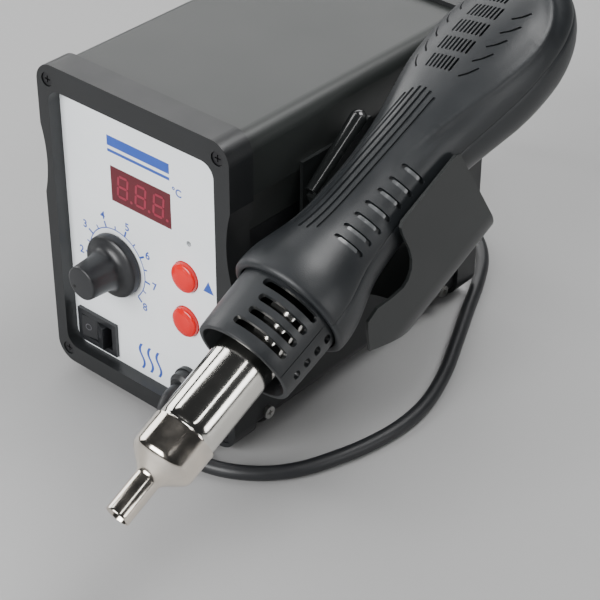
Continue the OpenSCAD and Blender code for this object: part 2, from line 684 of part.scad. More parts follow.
// One half of the handle: a lofted shell from angle a0 down to a1
module handle_half(a0, a1, side) {
    steps = 18;
    lift = side * 0.05;
    rings = [for (st = handle_stations) concat(
        [for (i = [0:steps]) let (q = on_outline(st, 0, a0 + (a1 - a0) * i / steps)) [q[0], st[0], q[1] + lift]],
        [for (i = [steps:-1:0]) let (q = on_outline(st, inner_wall(st), a0 + (a1 - a0) * i / steps))
            [q[0], st[0], q[1] + lift]])];
    n = 2 * (steps + 1);
    m = len(rings);
    polyhedron(
        points = [for (r = rings) each r],
        faces = concat(
            [for (j = [0:m - 2], i = [0:n - 1]) let (k = (i + 1) % n) [j * n + i, (j + 1) * n + i, j * n + k]],
            [for (j = [0:m - 2], i = [0:n - 1]) let (k = (i + 1) % n)
                [j * n + k, (j + 1) * n + i, (j + 1) * n + k]],
            [for (i = [0:steps - 1]) [i, i + 1, n - 2 - i]],
            [for (i = [0:steps - 1]) [i, n - 2 - i, n - 1 - i]],
            [for (i = [0:steps - 1]) let (b = (m - 1) * n) [b + i, b + n - 2 - i, b + i + 1]],
            [for (i = [0:steps - 1]) let (b = (m - 1) * n) [b + i, b + n - 1 - i, b + n - 2 - i]]));
}

handle_screw_at = [[0, 130], [0, 174], [-11, 249], [11, 249]];

module handle_top() color("#26282a") handset() difference() {
    union() {
        handle_half(180, 0, 1);
        for (p = handle_screw_at) translate([p[0], p[1], 0.2]) cylinder(h = p[1] > 240 ? 12.4 : 16.4, r = 3);
    }
    for (p = handle_screw_at) translate([p[0], p[1], -1]) cylinder(h = 9, r = m3_r + screw_gap);
}

module handle_bottom() color("#26282a") handset() difference() {
    union() {
        handle_half(360, 180, -1);
        for (p = handle_screw_at) translate([p[0], p[1], p[1] > 240 ? -14 : -15.6])
            cylinder(h = p[1] > 240 ? 13.8 : 15.4, r = 3.4);
    }
    for (p = handle_screw_at) {
        translate([p[0], p[1], -30]) cylinder(h = 40, r = m3_r + screw_gap);
        translate([p[0], p[1], -30]) cylinder(h = 20, r = head_r + 0.2);
    }
}

module handle_screws() color("#7c7f82") handset() for (p = handle_screw_at)
    translate([p[0], p[1], -10 - head_h]) rotate([180, 0, 0]) screw(17.5);

// A slot cut through the guard's wall, between two angles counted from the upper side
module guard_slot(at, width, a0, a1) rotate([-90, 0, 0]) translate([0, 0, at - width / 2]) difference() {
    linear_extrude(width) polygon(concat([[0, 0]],
        [for (i = [0:4]) let (a = a0 + (a1 - a0) * i / 4) [30 * sin(a), -30 * cos(a)]]));
    translate([0, 0, -1]) cylinder(h = width + 2, r = 15);
}

module barrel_guard() color("#232527") handset() difference() {
    turn_y() polygon([
        [guard_d / 2 - guard_wall, guard_from], [guard_d / 2 - 0.7, guard_from], [guard_d / 2, guard_from + 0.8],
        [guard_plug_r, lip_at - 0.2], [guard_plug_r, guard_to], [guard_plug_r - guard_wall, guard_to],
        [guard_plug_r - guard_wall - 0.2, lip_at]]);
    // four long slots on the right, short ones beside the parting lines and four more pairs underneath
    for (i = [0:3]) let (at = guard_slot_at + i * guard_pitch) {
        guard_slot(at, guard_slot_w, i % 3 == 0 ? 9 : 16, 78);
        for (s = [-1, 1]) {
            guard_slot(at, guard_slot_w, s * 101, s * 113);
            guard_slot(at, guard_slot_w, 180 + s * 9, 180 + s * 48);
        }
    }
}

module barrel_tube() color("#cfcac0") handset() turn_y() polygon([
    [barrel_r - barrel_wall, barrel_from], [barrel_r, barrel_from], [barrel_r, barrel_to],
    [barrel_r - barrel_wall, barrel_to]]);

module nozzle() color("#d9d5cc") handset() turn_y() polygon([
    [outlet_r, 0], [outlet_r + nozzle_wall, 0], [outlet_r + nozzle_wall, tip_len],
    [outlet_r + nozzle_wall + 0.6, tip_len + 0.8], [nozzle_out - 1, tip_len + 5.6], [nozzle_out, tip_len + 7.6],
    [nozzle_out, nozzle_len], [nozzle_in, nozzle_len], [nozzle_in, tip_len + 8],
    [nozzle_in - 1.1, tip_len + 6.4], [outlet_r, tip_len + 1.2]]);

module mica_sleeve() color("#d9c9a0") handset() turn_y() polygon([
    [barrel_r - 1.4, 44], [barrel_r - barrel_wall - 0.2, 44], [barrel_r - barrel_wall - 0.2, 114],
    [barrel_r - 1.4, 114]]);

module heater_former() color("#e8e4da") handset() difference() {
    union() {
        for (a = [45, 135]) rotate([0, a, 0]) translate([-7.2, 47, -0.8]) cube([14.4, 66, 1.6]);
        turn_y() polygon([[0, 46], [barrel_r - 1.6, 46], [barrel_r - 1.6, 48], [0, 48]]);
        turn_y() polygon([[0, 112], [barrel_r - 1.6, 112], [barrel_r - 1.6, 115], [0, 115]]);
    }
    // air passages through the end discs
    for (a = [0:90:359]) rotate([0, a, 0]) translate([0, 44, 5.6]) rotate([-90, 0, 0]) cylinder(h = 80, r = 1.7);
}

module heater_coil() color("#a08a6a") handset() for (i = [0:11]) rotate([-90, 0, 0])
    translate([0, 0, 52 + i * 5]) rotate_extrude() translate([8.1, 0]) circle(0.6, $fn = 16);

module thermocouple() color("#8f9498") handset() translate([0, 38, 5.6]) rotate([-90, 0, 0]) cylinder(h = 84, r = 1);

module heater_flange() color("#b9b2a2") handset() turn_y() polygon([
    [barrel_r + 0.05, 113], [18.3, 113], [17.6, 116], [barrel_r + 0.05, 116]]);

module blower_housing() color("#2d3033") handset() difference() {
    translate([0, fan_at, -4]) cylinder(h = 12.3, r = wheel_d / 2 + 3.6);
    translate([0, fan_at, -2.4]) cylinder(h = 20, r = wheel_d / 2 + 2);
    translate([0, fan_at, -6]) cylinder(h = 10, r = 2.2);
    translate([-wheel_d / 4, fan_at - wheel_d, -2.4]) cube([wheel_d / 2, wheel_d * 0.8, 11]);
}

module blower_wheel() color("#1a1b1d") handset() translate([0, fan_at, 0]) {
    difference() {
        translate([0, 0, -1.4]) cylinder(h = 1.4, r = wheel_d / 2);
        translate([0, 0, -3]) cylinder(h = 6, r = 1.5 + run_gap);
    }
    difference() {
        translate([0, 0, -0.1]) cylinder(h = 7, r = 5);
        translate([0, 0, -3]) cylinder(h = 9, r = 1.5 + run_gap);
    }
    for (a = [0:24:359]) rotate(a) translate([wheel_d / 2 - 8, 0, -0.1]) rotate(25) cube([7, 1, 7.6]);
}

module blower_motor() color("#9a9da0") handset() translate([0, fan_at, 0]) {
    translate([0, 0, -16.9]) cylinder(h = 12.9, r = 12);
    translate([0, 0, -4.1]) cylinder(h = 9.5, r = 1.5);
}

module reed_board() color("#1f6b3a") handset() {
    translate([-13.4, 138, -6]) cube([1.4, 24, 11]);
    translate([-11.1, 142, -1]) rotate([-90, 0, 0]) cylinder(h = 14, r = 1.3);
}

module cord_boot() color("#151618") handset() turn_y() polygon([
    [0, 257], [8.9, 257], [8.9, 258], [boot_neck_r, 258], [boot_neck_r, boot_from], [boot_r, boot_from],
    [boot_r, 276], [8.2, 283], [6.4, 291], [boot_end_r, boot_to], [0, boot_to]]);

// ---------------------------------------------------------------- handset cord

function unit(v) = v / norm(v);

// A point of the smooth curve through the route, t along the span that starts at point i
function on_route(p, i, t) = let (
    n = len(p),
    a = p[max(i - 1, 0)],
    b = p[i],
    c = p[min(i + 1, n - 1)],
    d = p[min(i + 2, n - 1)])
    0.5 * (2 * b + (c - a) * t + (2 * a - 5 * b + 4 * c - d) * t * t + (3 * b - a - 3 * c + d) * t * t * t);

// The first and last ring lie square to the gland and to the handset's axis
module gun_cord() color("#17181a") station() {
    sides = 10;
    spine = concat(
        [for (i = [0:len(cord_route) - 2]) each [on_route(cord_route, i, 0), on_route(cord_route, i, 0.5)]],
        [cord_route[len(cord_route) - 1]]);
    n = len(spine);
    along = [for (i = [0:n - 1]) i == 0 ? [0, -1, 0]
        : i == n - 1 ? [0, -cos(gun_pitch), -sin(gun_pitch)]
        : unit(spine[i + 1] - spine[i - 1])];
    across = [for (i = 0, v = [1, 0, 0]; i < n;
        i = i + 1, v = i < n ? unit(v - (v * along[i]) * along[i]) : v) v];
    polyhedron(
        points = [for (i = [0:n - 1]) let (u = unit(across[i] - (across[i] * along[i]) * along[i]),
            w = cross(along[i], u)) each [for (k = [0:sides - 1]) let (a = 360 * k / sides)
            spine[i] + cord_r * (cos(a) * u + sin(a) * w)]],
        faces = concat(
            [for (i = [0:n - 2], k = [0:sides - 1]) let (m = (k + 1) % sides)
                [i * sides + k, (i + 1) * sides + k, i * sides + m]],
            [for (i = [0:n - 2], k = [0:sides - 1]) let (m = (k + 1) % sides)
                [i * sides + m, (i + 1) * sides + k, (i + 1) * sides + m]],
            [[for (k = [0:sides - 1]) k]],
            [[for (k = [sides - 1:-1:0]) (n - 1) * sides + k]]));
}

front_bezel();
rear_bezel();
top_cover();
base_tray();
chassis_plate();
feet();
feet_screws();
front_bezel_screws();
rear_bezel_screws();
side_screws();
front_panel();
display_window();
display_module();
control_board();
board_posts();
up_button();
down_button();
tact_switches();
cal_trimmer();
cal_trimmer_rotor();
air_knob();
pot_shaft();
pot_body();
pot_nut();
switch_frame();
switch_rocker();
cord_gland();
gland_nut();
rear_panel();
mains_inlet();
inlet_pins();
fuse_drawer();
fuse();
transformer_core();
transformer_coil();
power_board();
board_standoffs();
triac_heatsink();
capacitors();
cradle();
cradle_bracket();
cradle_screws();
cradle_magnet();
handle_top();
handle_bottom();
handle_screws();
barrel_guard();
barrel_tube();
nozzle();
mica_sleeve();
heater_former();
heater_coil();
thermocouple();
heater_flange();
blower_housing();
blower_wheel();
blower_motor();
reed_board();
cord_boot();
gun_cord();
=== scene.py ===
"""Looks of a bench hot air station with its handset in the holder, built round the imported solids."""
import json
from math import atan2, cos, exp, hypot, pi, radians, sin, sqrt

import bmesh
import bpy
from bpy.props import FloatProperty, FloatVectorProperty, IntProperty, PointerProperty
from mathutils import Matrix, Vector


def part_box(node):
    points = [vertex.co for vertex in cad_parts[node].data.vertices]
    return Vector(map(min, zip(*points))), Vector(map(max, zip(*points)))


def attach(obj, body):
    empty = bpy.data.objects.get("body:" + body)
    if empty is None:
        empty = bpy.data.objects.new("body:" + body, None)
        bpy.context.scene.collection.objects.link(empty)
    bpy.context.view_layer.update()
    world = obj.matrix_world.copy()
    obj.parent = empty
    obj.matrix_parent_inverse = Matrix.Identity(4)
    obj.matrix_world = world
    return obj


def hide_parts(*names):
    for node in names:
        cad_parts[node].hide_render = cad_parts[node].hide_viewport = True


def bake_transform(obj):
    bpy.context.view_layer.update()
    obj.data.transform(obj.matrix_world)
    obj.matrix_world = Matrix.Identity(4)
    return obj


bl_info = {
    "name": "Hot Air Station",
    "version": (1, 0, 0),
    "blender": (4, 5, 0),
    "location": "View3D > Sidebar > Hot Air Station",
    "description": "Detailed pieces, finishes and a studio for a bench hot air station",
    "category": "Object",
}

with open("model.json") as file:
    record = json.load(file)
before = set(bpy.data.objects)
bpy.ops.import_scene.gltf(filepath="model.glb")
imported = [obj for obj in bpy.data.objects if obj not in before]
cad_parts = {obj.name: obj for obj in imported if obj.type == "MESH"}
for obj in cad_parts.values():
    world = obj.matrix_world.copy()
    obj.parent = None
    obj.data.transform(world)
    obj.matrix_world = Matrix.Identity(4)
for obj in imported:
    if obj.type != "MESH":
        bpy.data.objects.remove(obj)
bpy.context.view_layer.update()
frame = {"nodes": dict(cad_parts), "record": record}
NODES = frame["nodes"]

# ---------------------------------------------------------------- places, in the case's own millimetres
MM = 0.001
BEZEL_LOW, BEZEL_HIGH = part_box("front_bezel")
FRONT_Y = -77.0
FOOT_H = BEZEL_LOW.z / MM
CASE = (Matrix.Translation(((BEZEL_LOW.x + BEZEL_HIGH.x) / 2, BEZEL_LOW.y - FRONT_Y * MM, 0))
        @ Matrix.Scale(MM, 4))
PITCH, ROLL = 25.0, -12.0
TIP = (79.0, FRONT_Y - 88.8, FOOT_H + 43.6)
HOLDER = CASE @ Matrix.Translation(TIP) @ Matrix.Rotation(radians(PITCH), 4, "X")
GUN = HOLDER @ Matrix.Rotation(radians(ROLL), 4, "Y")
PANEL_Y = FRONT_Y + 5.75
DISPLAY_AT = (-2.0, FOOT_H + 93.75)
KNOB_AT = (-17.4, FOOT_H + 56.9)
UP_AT = (20.6, FOOT_H + 67.6)
DOWN_AT = (20.3, FOOT_H + 46.8)
SWITCH_AT = (-30.5, FOOT_H + 18)
HOLDER_CLEAR = 40.4
ROLL_FRONT_R = 2.4
CORD_R = 3.0
CORD_Z = CORD_R + 0.2
BOOT_TO = 297.0
BOOT_END = (TIP[0], TIP[1] + BOOT_TO * cos(radians(PITCH)), TIP[2] + BOOT_TO * sin(radians(PITCH)))
ROUTE = [
    (21, FRONT_Y - 1, 20.6), (21.5, -83.5, 20.2), (23.6, -88.4, 18), (27.6, -91.6, 14), (33, -92.6, 9.4),
    (39.6, -91.6, 5.4), (46.8, -89.2, CORD_Z), (57, -85, CORD_Z), (67, -77.5, CORD_Z), (75, -67, CORD_Z),
    (80.5, -54, CORD_Z), (85, -39, CORD_Z), (87.5, -21, CORD_Z), (86, -2.5, CORD_Z), (79.5, 18, CORD_Z),
    (70, 38.5, CORD_Z), (59.5, 60, CORD_Z), (49, 82, CORD_Z), (38.5, 99, CORD_Z), (24, 112, CORD_Z),
    (6, 119.5, CORD_Z), (-12, 124, CORD_Z), (-29, 130, CORD_Z), (-42, 140, CORD_Z), (-49, 153, 4.5),
    (-49.5, 166, 11), (-45.5, 175, 24), (-38, 179.5, 41), (-30, 180, 59), (-21.5, 178.5, 77),
    (-12, 176, 95), (-1, 172.5, 112), (11, 168, 128), (24, 162.5, 143), (38, 155, 157), (51, 147.5, 169),
    (63, 139.5, 177.5), (72.5, 130, 181), (77.8, 121, 179.8), (79, 112.5, 176.3), BOOT_END,
]

# Handle outline: distance from the nozzle's outlet, half width, rise above the axis, drop below it
# and squareness
HANDLE = [
    (95.7, 23.3, 23.3, 23.3, 2), (97, 23.9, 23.9, 23.9, 2), (102, 23.9, 23.9, 23.9, 2),
    (107, 23.2, 23.2, 23.2, 2), (112, 21.9, 21.9, 21.9, 2), (118, 20.1, 20.3, 20, 2),
    (124, 18.7, 19, 18.5, 2), (132, 17.8, 18, 17.6, 2), (142, 17.4, 17.6, 17.2, 2),
    (154, 17.4, 17.5, 17.1, 2), (166, 17.9, 17.5, 17.2, 2.1), (175, 18.8, 17.6, 17.4, 2.15),
    (182, 20, 17.8, 17.6, 2.2), (190, 21.9, 18.1, 18.2, 2.3), (198, 23.8, 18.4, 19, 2.4),
    (206, 25.5, 18.6, 19.8, 2.5), (214, 26.7, 18.6, 20.4, 2.5), (222, 27.1, 18.4, 20.7, 2.5),
    (230, 26.9, 17.9, 20.5, 2.5), (238, 25.8, 17, 19.6, 2.4), (245, 23.7, 15.8, 18, 2.3),
    (251, 20.7, 14.3, 16, 2.2), (256, 17, 12.6, 13.8, 2.1), (259.5, 13.6, 11.2, 11.8, 2),
    (262, 10.2, 9.8, 10, 2),
]


# ---------------------------------------------------------------- what a user may change

class StationLooks(bpy.types.PropertyGroup):
    """Sizes and colours of the visible finish"""
    panel_colour: FloatVectorProperty(name="Panel", description="Colour of the front panel", subtype="COLOR",
                                      size=4, min=0, max=1, default=(0.88, 0.915, 0.94, 1))
    print_colour: FloatVectorProperty(name="Print", description="Colour of the dial's print", subtype="COLOR",
                                      size=4, min=0, max=1, default=(0.028, 0.085, 0.42, 1))
    button_colour: FloatVectorProperty(name="Buttons", description="Colour of the push buttons",
                                       subtype="COLOR", size=4, min=0, max=1, default=(0.66, 0.004, 0.004, 1))
    lid_colour: FloatVectorProperty(name="Cover", description="Colour of the case's cover", subtype="COLOR",
                                    size=4, min=0, max=1, default=(0.022, 0.025, 0.024, 1))
    black_colour: FloatVectorProperty(name="Black paint", description="Colour of bezels, tray and holder",
                                      subtype="COLOR", size=4, min=0, max=1, default=(0.009, 0.010, 0.011, 1))
    handle_colour: FloatVectorProperty(name="Handle", description="Colour of the handset's plastic",
                                       subtype="COLOR", size=4, min=0, max=1,
                                       default=(0.014, 0.016, 0.018, 1))
    groove_depth: FloatProperty(name="Thumb groove depth", description="Depth of the thumb grooves",
                                subtype="DISTANCE", unit="LENGTH", min=0.0003, max=0.0015, default=0.0010)
    ridge_height: FloatProperty(name="Ridge height", description="Height of the ridge round the air intake",
                                subtype="DISTANCE", unit="LENGTH", min=0, max=0.0012, default=0.0009)


class StudioLooks(bpy.types.PropertyGroup):
    """Floor and light"""
    floor_colour: FloatVectorProperty(name="Floor", description="Colour of the floor", subtype="COLOR",
                                      size=4, min=0, max=1, default=(0.38, 0.38, 0.38, 1))
    key_power: FloatProperty(name="Key light", description="Power of the main soft light", subtype="POWER",
                             min=0, max=200, default=26)
    world_level: FloatProperty(name="Surroundings", description="Brightness of the surroundings",
                               min=0, max=3, default=0.035)
    floor_half: IntProperty(name="Floor reach", description="Half of the floor's width, in metres",
                            min=1, max=20, default=6)


# ---------------------------------------------------------------- finishes

def node_of(tree, kind, at=(0, 0), **inputs):
    """A shader node with its input sockets set by name."""
    n = tree.nodes.new(kind)
    n.location = at
    for key, value in inputs.items():
        n.inputs[key.replace("_", " ")].default_value = value
    return n


FINISHES = {}


def finish(name, colour, rough, metallic=0.0, grain=2200.0, grain_height=0.05, mottle=0.18, mottle_scale=55.0,
           rough_spread=0.06, stretch=(1, 1, 1), coat=0.0, specular=0.5, transmission=0.0,
           painted_glow=None, tint=None):
    """A finish with cloudy tone, uneven gloss and a fine relief, all on Object coordinates; painted_glow adds
    emission, a painted glow on a part that is no lamp.
    """
    if name in FINISHES:
        return FINISHES[name]
    mat = bpy.data.materials.new(name)
    mat.use_nodes = True
    tree = mat.node_tree
    shader = tree.nodes["Principled BSDF"]
    place = node_of(tree, "ShaderNodeTexCoord", (-1300, 0))
    turn = node_of(tree, "ShaderNodeMapping", (-1100, 0))
    turn.inputs["Scale"].default_value = stretch
    tree.links.new(place.outputs["Object"], turn.inputs["Vector"])
    cloud = node_of(tree, "ShaderNodeTexNoise", (-850, 250), Scale=mottle_scale, Detail=5.0, Roughness=0.6)
    tree.links.new(turn.outputs["Vector"], cloud.inputs["Vector"])
    ramp = node_of(tree, "ShaderNodeValToRGB", (-620, 300))
    base = Vector(colour[:3])
    low, high = ramp.color_ramp.elements
    low.position, high.position = 0.3, 0.72
    low.color = (*(base * (1 - mottle)), 1)
    bright = Vector(tint) if tint else base * (1 + mottle)
    high.color = (*[min(1, c) for c in bright], 1)
    tree.links.new(cloud.outputs["Fac"], ramp.inputs["Fac"])
    tree.links.new(ramp.outputs["Color"], shader.inputs["Base Color"])
    speck = node_of(tree, "ShaderNodeTexNoise", (-850, -150), Scale=grain, Detail=3.0, Roughness=0.55)
    tree.links.new(turn.outputs["Vector"], speck.inputs["Vector"])
    gloss = node_of(tree, "ShaderNodeMapRange", (-620, 0))
    gloss.inputs["From Min"].default_value = 0.3
    gloss.inputs["From Max"].default_value = 0.7
    gloss.inputs["To Min"].default_value = max(0.02, rough - rough_spread)
    gloss.inputs["To Max"].default_value = min(1.0, rough + rough_spread)
    tree.links.new(cloud.outputs["Fac"], gloss.inputs["Value"])
    tree.links.new(gloss.outputs["Result"], shader.inputs["Roughness"])
    bump = node_of(tree, "ShaderNodeBump", (-350, -200), Strength=1.0, Distance=grain_height * MM)
    tree.links.new(speck.outputs["Fac"], bump.inputs["Height"])
    tree.links.new(bump.outputs["Normal"], shader.inputs["Normal"])
    shader.inputs["Metallic"].default_value = metallic
    shader.inputs["Coat Weight"].default_value = coat
    shader.inputs["Coat Roughness"].default_value = 0.08
    shader.inputs["Specular IOR Level"].default_value = specular
    shader.inputs["Transmission Weight"].default_value = transmission
    # painted glow: emission that makes a part shine though it is no lamp
    if painted_glow:
        shader.inputs["Emission Color"].default_value = (*painted_glow[:3], 1)
        shader.inputs["Emission Strength"].default_value = painted_glow[3]
    FINISHES[name] = mat
    return mat


def case_finishes(looks):
    """All the finishes, by the record's slot or by their own name."""
    black = looks.black_colour
    return {
        "bezel_black": finish("bezel_black", black, 0.42, grain=3000, grain_height=0.03, coat=0.05),
        "case_grey": finish("case_grey", looks.lid_colour, 0.40, grain=2600, grain_height=0.025, mottle=0.10,
                            mottle_scale=18, rough_spread=0.03),
        "case_black": finish("case_black", black, 0.40, grain=2600, grain_height=0.03, mottle_scale=20),
        "panel_white": finish("panel_white", looks.panel_colour, 0.33, grain=3500, grain_height=0.006,
                              mottle=0.025, mottle_scale=30),
        "rear_black": finish("rear_black", (0.02, 0.021, 0.024), 0.5, grain=2400, grain_height=0.04),
        # the display window's faint red emission is a painted glow; the display is unlit
        "display_red": finish("display_red", (0.075, 0.004, 0.010), 0.16, grain=1500, grain_height=0.002,
                              mottle=0.12, rough_spread=0.02, coat=0.2, specular=0.4,
                              painted_glow=(0.35, 0.01, 0.03, 0.12)),
        # the buttons' faint red emission is a painted glow that deepens their red
        "button_red": finish("button_red", looks.button_colour, 0.22, grain=1800, grain_height=0.01,
                             mottle=0.08, coat=0.2, rough_spread=0.04,
                             painted_glow=(1.0, 0.0, 0.0, 0.10)),
        "knob_black": finish("knob_black", (0.014, 0.015, 0.017), 0.36, grain=2600, grain_height=0.03),
        "switch_black": finish("switch_black", (0.014, 0.015, 0.017), 0.30, grain=2600, grain_height=0.02),
        "black_plastic": finish("black_plastic", (0.013, 0.014, 0.015), 0.42, grain=2600, grain_height=0.03),
        "pale_plastic": finish("pale_plastic", (0.62, 0.60, 0.53), 0.5, mottle=0.08),
        "blue_plastic": finish("blue_plastic", (0.03, 0.12, 0.40), 0.4, mottle=0.1),
        "handle_black": finish("handle_black", looks.handle_colour, 0.40, grain=2400, grain_height=0.055,
                               mottle=0.16, mottle_scale=40, rough_spread=0.05),
        "rubber": finish("rubber", (0.012, 0.012, 0.013), 0.62, grain=1800, grain_height=0.05),
        "cord_black": finish("cord_black", (0.015, 0.016, 0.018), 0.42, grain=1500, grain_height=0.04),
        "holder_black": finish("holder_black", (0.012, 0.014, 0.014), 0.38, grain=2600, grain_height=0.04,
                               mottle_scale=25),
        "nickel": finish("nickel", (0.76, 0.74, 0.69), 0.11, metallic=1.0, grain=260, grain_height=0.012,
                         mottle=0.10, mottle_scale=35),
        "nozzle_nickel": finish("nozzle_nickel", (0.76, 0.72, 0.66), 0.15, metallic=1.0, grain=500,
                                grain_height=0.015, mottle=0.14, mottle_scale=60, rough_spread=0.08,
                                tint=(0.86, 0.78, 0.68)),
        "steel": finish("steel", (0.56, 0.56, 0.54), 0.32, metallic=1.0, grain=900, grain_height=0.01,
                        stretch=(1, 8, 1)),
        "screw_black": finish("screw_black", (0.015, 0.015, 0.017), 0.35, metallic=0.3, mottle=0.2),
        "board_green": finish("board_green", (0.02, 0.16, 0.06), 0.4, grain=900, mottle=0.25,
                              mottle_scale=160),
        "brass": finish("brass", (0.55, 0.43, 0.2), 0.3, metallic=1.0),
        "copper": finish("copper", (0.55, 0.24, 0.09), 0.35, metallic=1.0, grain=700, stretch=(1, 1, 9)),
        "aluminium": finish("aluminium", (0.55, 0.56, 0.58), 0.36, metallic=1.0, stretch=(1, 1, 7)),
        "capacitor_blue": finish("capacitor_blue", (0.03, 0.05, 0.12), 0.35),
        "fuse_glass": finish("fuse_glass", (0.8, 0.8, 0.76), 0.08, transmission=0.8, mottle=0.04),
        "mica": finish("mica", (0.55, 0.45, 0.27), 0.4, mottle=0.2),
        "ceramic": finish("ceramic", (0.76, 0.72, 0.65), 0.7, mottle=0.08),
        "heater_wire": finish("heater_wire", (0.35, 0.26, 0.19), 0.5, metallic=1.0),
        "panel_print": finish("panel_print", looks.print_colour, 0.35, grain=3000, grain_height=0.004,
                              mottle=0.08, mottle_scale=90),
        # the unlit figures' pinkish colour is their own; their faint emission is a painted glow
        "ghost_digit": finish("ghost_digit", (0.26, 0.020, 0.045), 0.35, grain=1500, grain_height=0.002,
                              mottle=0.10, painted_glow=(0.6, 0.03, 0.09, 0.03)),
        "grey_mark": finish("grey_mark", (0.10, 0.10, 0.11), 0.5, mottle=0.06),
        "roll_gloss": finish("roll_gloss", (0.008, 0.009, 0.009), 0.20, grain=1500, grain_height=0.02,
                             coat=0.8),
        # lighter grey than the handle: a painted highlight laid in the thumb grooves, which are the handle's
        # own plastic
        "painted_groove_highlight": finish("painted_groove_highlight", (0.10, 0.105, 0.108), 0.22, grain=1800, grain_height=0.01),
        "dark_dot": finish("dark_dot", (0.003, 0.003, 0.003), 0.6, mottle=0.1),
    }


# ---------------------------------------------------------------- making pieces

WELD = 1e-4
ROUND_STEPS = 144

def place_piece(name, bm, matrix, material, body, node_names=(), sharp=35, recalc=True):
    """Puts a finished bmesh into the row frame as one piece that rides on a body."""
    bmesh.ops.transform(bm, matrix=matrix, verts=bm.verts)
    bmesh.ops.remove_doubles(bm, verts=bm.verts, dist=2e-6)
    if recalc:
        bmesh.ops.recalc_face_normals(bm, faces=bm.faces)
    mesh = bpy.data.meshes.new(name)
    bm.to_mesh(mesh)
    bm.free()
    return place_mesh(name, mesh, material, body, node_names, sharp)


def place_mesh(name, mesh, material, body, node_names=(), sharp=35):
    """Links a mesh that is already in place."""
    if not mesh.polygons:
        raise RuntimeError(name + " has no faces")
    mesh.materials.clear()
    mesh.materials.append(material)
    mesh.shade_smooth()
    mesh.set_sharp_from_angle(angle=radians(sharp))
    piece = bpy.data.objects.new(name, mesh)
    bpy.context.scene.collection.objects.link(piece)
    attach(piece, body)
    if node_names:
        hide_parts(*node_names)
    return piece


def lathe(bm, profile, steps=96, closed=False):
    """Turns a profile of (radius, distance) points round the Y axis. Points on the axis are welded."""
    verts = [bm.verts.new((r, y, 0)) for r, y in profile]
    following = verts[1:] + verts[:1] if closed else verts[1:]
    edges = [bm.edges.new(pair) for pair in zip(verts, following)]
    bmesh.ops.spin(bm, geom=verts + edges, cent=(0, 0, 0), axis=(0, 1, 0), angle=2 * pi, steps=steps,
                   use_merge=True)
    bmesh.ops.remove_doubles(bm, verts=bm.verts, dist=WELD)


def bar(bm, cuts, shape):
    """A closed bar with cuts along its length.

    shape(u, v, w) gives each corner's place, with u from 0 to 1 along the bar and v and w at -1 or 1.
    """
    one = bmesh.new()
    bmesh.ops.create_cube(one, size=2.0)
    lengthwise = [e for e in one.edges if abs(e.verts[0].co.x - e.verts[1].co.x) > 1]
    if cuts:
        bmesh.ops.subdivide_edges(one, edges=lengthwise, cuts=cuts, use_grid_fill=True)
    for v in one.verts:
        v.co = Vector(shape((v.co.x + 1) / 2, v.co.y, v.co.z))
    mesh = bpy.data.meshes.new("bar")
    one.to_mesh(mesh)
    one.free()
    bm.from_mesh(mesh)
    bpy.data.meshes.remove(mesh)


def cut_away(piece, bm_cutters, matrix):
    """Takes the cutters out of a piece and keeps the result as its mesh."""
    bmesh.ops.transform(bm_cutters, matrix=matrix, verts=bm_cutters.verts)
    bmesh.ops.recalc_face_normals(bm_cutters, faces=bm_cutters.faces)
    tool_mesh = bpy.data.meshes.new("tool")
    bm_cutters.to_mesh(tool_mesh)
    bm_cutters.free()
    tool = bpy.data.objects.new("tool", tool_mesh)
    bpy.context.scene.collection.objects.link(tool)
    cut = piece.modifiers.new("cut", "BOOLEAN")
    cut.operation = "DIFFERENCE"
    cut.solver = "EXACT"
    cut.use_self = True
    cut.object = tool
    bpy.context.view_layer.update()
    depsgraph = bpy.context.evaluated_depsgraph_get()
    result = bpy.data.meshes.new_from_object(piece.evaluated_get(depsgraph))
    piece.modifiers.clear()
    old = piece.data
    if len(result.polygons) < len(old.polygons) * 0.5:
        raise RuntimeError("the cut left too little of " + piece.name)
    piece.data = result
    bpy.data.meshes.remove(old)
    bpy.data.objects.remove(tool)
    bpy.data.meshes.remove(tool_mesh)
    piece.data.shade_smooth()
    piece.data.set_sharp_from_angle(angle=radians(38))


# ---------------------------------------------------------------- the handle's skin

def handle_row(s):
    """The handle's measures at a distance, on a smooth curve through its stations."""
    rows = HANDLE
    s = min(max(s, rows[0][0]), rows[-1][0])
    i = max(k for k in range(len(rows) - 1) if rows[k][0] <= s)
    a, b, c, d = rows[max(i - 1, 0)], rows[i], rows[i + 1], rows[min(i + 2, len(rows) - 1)]
    span = c[0] - b[0]
    t = (s - b[0]) / span
    out = []
    for k in range(1, 5):
        m0 = (c[k] - a[k]) / (c[0] - a[0]) * span
        m1 = (d[k] - b[k]) / (d[0] - b[0]) * span
        out.append((2 * t ** 3 - 3 * t ** 2 + 1) * b[k] + (t ** 3 - 2 * t ** 2 + t) * m0
                   + (-2 * t ** 3 + 3 * t ** 2) * c[k] + (t ** 3 - t ** 2) * m1)
    return out


def skin_radius(s, a):
    """Distance from the handset's axis to the handle's outside, at an angle from its upper side."""
    w, up, down, square = handle_row(s)
    x, z = abs(sin(radians(a))), cos(radians(a))
    h = up if z >= 0 else down
    return ((x / w) ** square + (abs(z) / h) ** square) ** (-1 / square)


def skin(s, a, rise=0.0):
    """A point on the handle's outside."""
    r = skin_radius(s, a) + rise
    return Vector((r * sin(radians(a)), s, r * cos(radians(a))))


def along(path, t):
    """The point at a share of a path of (distance, angle) points, and its direction."""
    n = len(path) - 1
    i = min(int(t * n), n - 1)
    f = t * n - i
    (s0, a0), (s1, a1) = path[i], path[i + 1]
    return s0 + (s1 - s0) * f, a0 + (a1 - a0) * f, s1 - s0, a1 - a0


